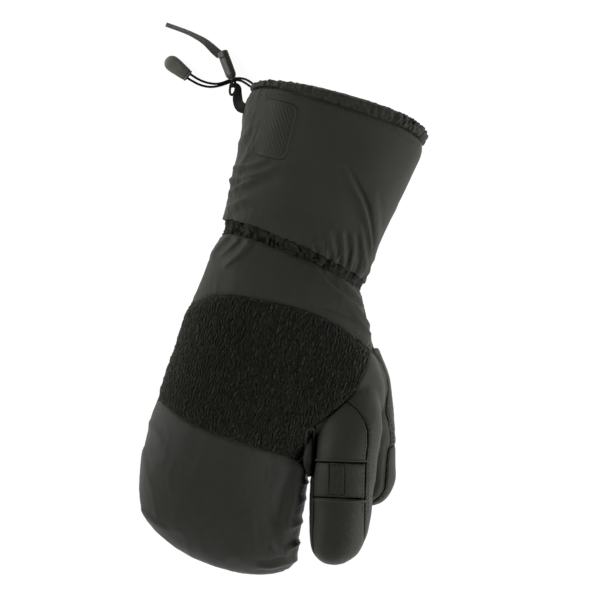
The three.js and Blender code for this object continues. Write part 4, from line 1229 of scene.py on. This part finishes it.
# The bare film patch on the cuff
def make_badge(shell):
    """A rounded film with a raised border and plain slanted ribs, laid on the cuff."""
    bm = bmesh.new()
    bmesh.ops.create_grid(bm, x_segments=80, y_segments=110, size=1)
    half_width, half_length, corner = BADGE["width"] / 2, BADGE["length"] / 2, BADGE["corner"]
    for vert in bm.verts:
        a, b = vert.co.x * half_width, vert.co.y * half_length
        over = max(abs(b) - (half_length - corner), 0)
        room = half_width - corner + math.sqrt(max(corner**2 - over**2, 0))
        a *= room / half_width
        inside = min(room - abs(a), half_length - abs(b))
        border = math.exp(-(((inside - BADGE["border"]) / BADGE["border_width"]) ** 2))
        ribs = 0.5 + 0.5 * math.sin(2 * math.pi * (a + BADGE["slant"] * b) / BADGE["rib_pitch"])
        field = min(max((inside - BADGE["field"]) / 0.6, 0), 1)
        rise = BADGE["lift"] + BADGE["rise"] * (0.35 + 0.4 * border + 0.3 * ribs * field)
        rise *= min(inside / 0.5, 1)
        x, y = (BADGE["x"] + a) * MM, (BADGE["y"] + b) * MM
        hit = shell.ray_cast(Vector((x, y, ABOVE_ALL * MM)), DOWN)[0]
        vert.co = hit - DOWN * rise * MM
    bmesh.ops.recalc_face_normals(bm, faces=bm.faces)
    shade_smooth(bm)
    piece = object_from(bm, "patch_film")
    wall = piece.modifiers.new("wall", "SOLIDIFY")
    wall.thickness = 0.5 * MM
    wall.offset = -1
    return stand_for({"badge": piece})["badge"]


cuff_shell = BVHTree.FromPolygons(
    [v.co for v in cuff_pieces["gauntlet"].data.vertices],
    [tuple(f.vertices) for f in cuff_pieces["gauntlet"].data.polygons],
)
badge_piece = make_badge(cuff_shell)
stitch_piece = make_stitches(hand_shell, cuff_shell, thumb_shell)


# Thread directions: u runs round the mitten and v along it, in millimetres
def lay_threads(piece):
    rows = sorted(GAUNTLET_ROWS + WRIST_ROWS + HAND_ROWS, key=lambda row: row.left_y + row.right_y)
    ys = [(row.left_y + row.right_y) / 2 for row in rows]
    mesh = piece.data
    places = np.empty(len(mesh.vertices) * 3)
    mesh.vertices.foreach_get("co", places)
    places = places.reshape(-1, 3) / MM
    middle = np.interp(places[:, 1], ys, [(row.left_x + row.right_x) / 2 for row in rows])
    half = np.interp(places[:, 1], ys, [(row.right_x - row.left_x) / 2 for row in rows])
    top = np.interp(places[:, 1], ys, [row.top for row in rows])
    angle = np.arctan2((places[:, 0] - middle) / half, (places[:, 2] - top * SIDE_SHARE) / (top * 0.5))
    threads = np.stack([angle * (half + top * 0.5) / 2, places[:, 1], np.zeros(len(angle))], axis=1)
    layer = mesh.attributes.new("threads", "FLOAT_VECTOR", "POINT")
    layer.data.foreach_set("vector", threads.ravel())


# Finishes
def new_group(name, inputs, outputs):
    group = bpy.data.node_groups.new(name, "ShaderNodeTree")
    for label, value in inputs.items():
        kind = "NodeSocketVector" if value is None else "NodeSocketFloat"
        socket = group.interface.new_socket(label, in_out="INPUT", socket_type=kind)
        if value is not None:
            socket.default_value = value
    for label in outputs:
        group.interface.new_socket(label, in_out="OUTPUT", socket_type="NodeSocketFloat")
    return group, group.nodes.new("NodeGroupInput"), group.nodes.new("NodeGroupOutput")


def give(group, made, **sockets):
    """Links the sockets to the group's own outputs."""
    for label, socket in sockets.items():
        group.links.new(socket, made.inputs[label])
    return group


def math_node(tree, operation, *values):
    """A math node fed with numbers or sockets. It gives its output socket."""
    node = tree.nodes.new("ShaderNodeMath")
    node.operation = operation
    for socket, value in zip(node.inputs, values):
        if isinstance(value, (int, float)):
            socket.default_value = value
        else:
            tree.links.new(value, socket)
    return node.outputs[0]


def noise_node(tree, vector, scale, detail=2.0, roughness=0.5, distortion=0.0):
    node = tree.nodes.new("ShaderNodeTexNoise")
    set_inputs(node, {"Scale": scale, "Detail": detail, "Roughness": roughness, "Distortion": distortion})
    tree.links.new(vector, node.inputs["Vector"])
    return node.outputs["Fac"]


def times(tree, a, b):
    return math_node(tree, "MULTIPLY", a, b)


def scaled(tree, value, factor, start):
    """value times factor, plus start."""
    return math_node(tree, "MULTIPLY_ADD", value, factor, start)


def arches(tree, angle):
    """The sine's arches, all upright: one for each half turn."""
    return math_node(tree, "ABSOLUTE", math_node(tree, "SINE", angle))


def stretched(tree, vector, x, y, z):
    node = tree.nodes.new("ShaderNodeVectorMath")
    node.operation = "MULTIPLY"
    node.inputs[1].default_value = (x, y, z)
    tree.links.new(vector, node.inputs[0])
    return node.outputs[0]


def weave_group():
    """Plain weave. Height is between 0 and 1, and Gap marks the holes between threads."""
    group, given, made = new_group("plain_weave", {"Threads": None, "Thread": 0.4}, ["Height", "Gap"])
    axes = group.nodes.new("ShaderNodeSeparateXYZ")
    group.links.new(given.outputs["Threads"], axes.inputs[0])
    across = math_node(group, "DIVIDE", axes.outputs["X"], given.outputs["Thread"])
    along = math_node(group, "DIVIDE", axes.outputs["Y"], given.outputs["Thread"])
    warp = arches(group, times(group, across, math.pi))
    weft = arches(group, times(group, along, math.pi))
    steps = math_node(group, "ADD", math_node(group, "FLOOR", across), math_node(group, "FLOOR", along))
    over = math_node(group, "FLOORED_MODULO", steps, 2.0)
    under = math_node(group, "SUBTRACT", 1.0, over)
    height = scaled(group, warp, over, times(group, weft, under))
    gap = math_node(group, "SUBTRACT", 1.0, math_node(group, "MAXIMUM", warp, weft))
    return give(group, made, Height=height, Gap=gap)


def grain_group():
    """Leather grain: pebbles with creases between them, and fine pores."""
    group, given, made = new_group("leather_grain", {"Place": None, "Pebble": 0.9}, ["Height", "Crease"])
    size = math_node(group, "DIVIDE", 1.0, given.outputs["Pebble"])
    cells = group.nodes.new("ShaderNodeTexVoronoi")
    cells.feature = "DISTANCE_TO_EDGE"
    group.links.new(given.outputs["Place"], cells.inputs["Vector"])
    group.links.new(size, cells.inputs["Scale"])
    pebbles = math_node(group, "MINIMUM", times(group, cells.outputs["Distance"], 5.0), 1.0)
    pores = noise_node(group, given.outputs["Place"], 4.0, 2.0)
    swell = noise_node(group, given.outputs["Place"], 0.45, 2.0)
    height = math_node(group, "ADD", pebbles, times(group, pores, 0.5))
    crease = math_node(group, "SUBTRACT", 1.0, pebbles)
    return give(group, made, Height=scaled(group, swell, 0.8, height), Crease=crease)


def pile_group():
    """Short fleece pile, in tufts that run along the hand. Tip is between 0 and 1, and marks the tufts'
    crests, where the fleece finish paints light.
    """
    group, given, made = new_group("fleece_pile", {"Place": None}, ["Height", "Tip"])
    tufts = noise_node(group, stretched(group, given.outputs["Place"], 0.95, 0.45, 0.7), 1.0, 2.0, 0.6, 1.2)
    fibres = noise_node(group, stretched(group, given.outputs["Place"], 3.2, 1.4, 2.6), 1.0, 2.0, 0.6, 0.8)
    height = scaled(group, fibres, 0.4, tufts)
    tips = group.nodes.new("ShaderNodeMapRange")
    set_inputs(tips, {"From Min": 0.52, "From Max": 0.9})
    group.links.new(height, tips.inputs["Value"])
    return give(group, made, Height=height, Tip=tips.outputs["Result"])


def wear_group():
    """Uneven tone from handling and light dust. Tone is about 1, Rub between 0 and 1."""
    group, given, made = new_group("wear", {"Place": None, "Amount": 0.2}, ["Tone", "Rub"])
    broad = noise_node(group, given.outputs["Place"], 0.035, 3.0, 0.55)
    close = noise_node(group, given.outputs["Place"], 0.35, 3.0, 0.6)
    mixed = scaled(group, close, 0.4, times(group, broad, 0.6))
    swing = times(group, math_node(group, "SUBTRACT", mixed, 0.5), given.outputs["Amount"])
    return give(group, made, Tone=scaled(group, swing, 4.0, 1.0), Rub=close)


GROUPS = {"weave": weave_group(), "grain": grain_group(), "pile": pile_group(), "wear": wear_group()}


class Finish:
    """A material in the making, with places in millimetres."""

    def __init__(self, name, colour, wear, specular, sheen=0.0, sheen_roughness=0.5):
        self.material = bpy.data.materials.new(name)
        self.material.use_nodes = True
        self.tree = self.material.node_tree
        self.shader = self.tree.nodes["Principled BSDF"]
        set_inputs(self.shader, {"Specular IOR Level": specular})
        set_inputs(self.shader, {"Sheen Weight": sheen, "Sheen Roughness": sheen_roughness})
        self.colour = colour
        coords = self.tree.nodes.new("ShaderNodeTexCoord")
        self.place = stretched(self.tree, coords.outputs["Object"], 1 / MM, 1 / MM, 1 / MM)
        self.wear = self.use("wear", self.place, Amount=wear)
        self.worn_tone = self.wear.outputs["Tone"]

    def attribute(self, name, output="Vector"):
        node = self.tree.nodes.new("ShaderNodeAttribute")
        node.attribute_name = name
        return node.outputs[output]

    def use(self, group, vector, **values):
        node = self.tree.nodes.new("ShaderNodeGroup")
        node.node_tree = GROUPS[group]
        self.tree.links.new(vector, node.inputs[0])
        set_inputs(node, values)
        return node

    def bump(self, height, depth):
        """Adds relief of the given depth in millimetres, over any that is there already."""
        node = self.tree.nodes.new("ShaderNodeBump")
        node.inputs["Distance"].default_value = depth * MM
        self.tree.links.new(height, node.inputs["Height"])
        if self.shader.inputs["Normal"].links:
            self.tree.links.new(self.shader.inputs["Normal"].links[0].from_socket, node.inputs["Normal"])
        self.tree.links.new(node.outputs["Normal"], self.shader.inputs["Normal"])

    def paint(self, tone, roughness, spread):
        """Base colour is the finish's colour times tone. Wear spreads the roughness about its middle."""
        scale = self.tree.nodes.new("ShaderNodeVectorMath")
        scale.operation = "SCALE"
        scale.inputs[0].default_value = self.colour
        self.tree.links.new(tone, scale.inputs["Scale"])
        self.tree.links.new(scale.outputs[0], self.shader.inputs["Base Color"])
        rough = scaled(self.tree, self.wear.outputs["Rub"], spread, roughness - spread / 2)
        self.tree.links.new(rough, self.shader.inputs["Roughness"])
        return self.material


def woven_finish(name, colour, thread, depth, specular, sheen, roughness, valley=0.0):
    """Plain-woven cloth. valley says how much darker it is for each millimetre that its relief goes down, and
    how much lighter for each that it goes up: painted shade in the folds' hollows and seams, and painted
    light on their ridges.
    """
    finish = Finish(name, colour, 0.12, specular, sheen)
    tree = finish.tree
    weave = finish.use("weave", finish.attribute("threads"), Thread=thread)
    slub = noise_node(tree, stretched(tree, finish.attribute("threads"), 1.6, 0.16, 1), 1.0)
    finish.bump(weave.outputs["Height"], depth)
    finish.bump(slub, depth * 0.9)
    shade = times(tree, scaled(tree, weave.outputs["Gap"], -0.5, 1.0), scaled(tree, slub, 0.24, 0.88))
    tone = times(tree, shade, finish.worn_tone)
    if valley:
        # Painted shade where the relief goes down and painted light where it rises
        deep = scaled(tree, finish.attribute("relief", "Fac"), valley, 1 - valley / 2)
        deep = math_node(tree, "MINIMUM", math_node(tree, "MAXIMUM", deep, 0.25), 1.3)
        tone = times(tree, tone, deep)
    return finish.paint(tone, roughness, 0.16)


def leather_finish(name, colour, roughness, pebble=0.9, depth=0.05):
    finish = Finish(name, colour, 0.16, 0.36, 0.04)
    tree = finish.tree
    grain = finish.use("grain", finish.place, Pebble=pebble)
    finish.bump(grain.outputs["Height"], depth)
    bends = noise_node(tree, stretched(tree, finish.place, 0.16, 0.3, 0.2), 1.0, 4.0, 0.62, 0.6)
    finish.bump(bends, 0.35)
    return finish.paint(scaled(tree, grain.outputs["Crease"], -0.18, finish.worn_tone), roughness, 0.2)


def fleece_finish(name, colour):
    """Pile painted darker between its tips and lighter on them, as painted shade and painted light. The
    panel's own relief says where the tips are.
    """
    finish = Finish(name, colour, 0.1, 0.08, 0.3, 0.4)
    tree = finish.tree
    pile = finish.use("pile", finish.place)
    finish.bump(pile.outputs["Height"], 1.4)
    # Painted shade low in the relief and painted light high in it
    tips = math_node(tree, "MAXIMUM", scaled(tree, finish.attribute("relief", "Fac"), 0.8, -0.2), 0.1)
    tone = scaled(tree, math_node(tree, "POWER", tips, 1.3), 1.1, 0.25)
    # The pile's Tip paints light on the tufts' crests
    tone = times(tree, tone, scaled(tree, pile.outputs["Tip"], 1.4, 0.45))
    return finish.paint(times(tree, tone, finish.worn_tone), 0.94, 0.08)


def moulded_finish(name, colour, roughness, specular=0.5):
    finish = Finish(name, colour, 0.14, specular)
    finish.bump(noise_node(finish.tree, finish.place, 3.0, 3.0), 0.03)
    return finish.paint(finish.worn_tone, roughness, 0.24)


def braided_finish(name, colour, strands=4, pitch=2.4):
    """A round braid: two sets of strands that wind opposite ways."""
    finish = Finish(name, colour, 0.14, 0.1)
    tree = finish.tree
    axes = tree.nodes.new("ShaderNodeSeparateXYZ")
    tree.links.new(finish.attribute("turn"), axes.inputs[0])
    wound = times(tree, math_node(tree, "ARCTAN2", axes.outputs["Y"], axes.outputs["X"]), strands / 2)
    run = times(tree, axes.outputs["Z"], math.pi / pitch)
    one_way = arches(tree, math_node(tree, "ADD", wound, run))
    other_way = arches(tree, math_node(tree, "SUBTRACT", wound, run))
    braid = times(tree, one_way, other_way)
    finish.bump(braid, 0.16)
    return finish.paint(times(tree, finish.worn_tone, scaled(tree, braid, 0.9, 0.5)), 0.75, 0.1)


def finish_pieces():
    hand, cuff, leash = hand_panels, cuff_pieces, leash_pieces
    for piece in (hand["back_yoke"], hand["finger_pocket"], hand["index_tab"], *cuff.values()):
        lay_threads(piece)
    leather = [hand[node] for node in ("palm", "index_sleeve", "index_knuckle", "index_band", "index_tip")]
    leather += [*thumb_panels.values(), crotch_piece, gusset_piece]
    # The numbers of woven cloth are thread, depth, specular, sheen, roughness and valley, the painted shade
    # and painted light that follow the relief
    nylon = woven_finish("nylon_cloth", (0.0478, 0.05, 0.0371), 0.42, 0.05, 0.32, 0.08, 0.62, 0.12)
    # The shirred band's darker colour is painted shade in its gathers, and its large valley paints their
    # hollows darker still
    shirred = woven_finish("shirred_cloth_painted_shade", (0.0315, 0.033, 0.0247), 0.42, 0.05, 0.25, 0.04, 0.7, 0.28)
    pocket = woven_finish("pocket_nylon", (0.045, 0.0465, 0.0368), 0.36, 0.04, 0.36, 0.1, 0.55)
    tab = woven_finish("tab_tape", (0.038, 0.0396, 0.0302), 0.7, 0.1, 0.3, 0.08, 0.7)
    loop = woven_finish("loop_tape", (0.021, 0.0193, 0.016), 0.8, 0.16, 0.2, 0.02, 0.8)
    wire = moulded_finish("ring_plastic", (0.012, 0.0124, 0.0102), 0.5, 0.15)
    strap = woven_finish("strap_tape", (0.215, 0.198, 0.174), 0.7, 0.12, 0.3, 0.1, 0.7)
    looks = [
        (nylon, "nylon", [hand["back_yoke"], cuff["gauntlet"], cuff["hem_tunnel"]]),
        (shirred, "nylon", [cuff["wrist_elastic"]]),
        (pocket, "nylon", [hand["finger_pocket"]]),
        (fleece_finish("fleece_cloth", (0.034, 0.0355, 0.0265)), "fleece", [hand["fleece_patch"]]),
        (leather_finish("soft_leather", (0.0405, 0.0423, 0.0318), 0.57), "leather", leather),
        # The welts' leather is lighter than the rest, a painted highlight along the raised welts
        (leather_finish("welt_leather_painted_highlight", (0.05, 0.052, 0.04), 0.5), "leather", welt_pieces),
        (leather_finish("sewing_thread", (0.044, 0.046, 0.034), 0.62, 0.4, 0.03), "leather", [stitch_piece]),
        (tab, "webbing", [hand["index_tab"]]),
        (moulded_finish("satin_film", (0.036, 0.0376, 0.0282), 0.6, 0.3), "badge_film", [badge_piece]),
        (loop, "webbing", [leash["leash_loop"]]),
        (strap, "leash", [leash["leash_strap"]]),
        (moulded_finish("keeper_plastic", (0.08, 0.083, 0.065), 0.4), "moulded", [leash["leash_keeper"]]),
        (moulded_finish("cord_end_plastic", (0.235, 0.245, 0.197), 0.5), "moulded", [cord_end_piece]),
        (wire, "moulded", [leash["leash_ring"]]),
        (braided_finish("cord_braid", (0.012, 0.012, 0.0106)), "cord", cords),
    ]
    for material, slot, pieces in looks:
        for piece in pieces:
            piece.data.materials.clear()
            piece.data.materials.append(material)


finish_pieces()
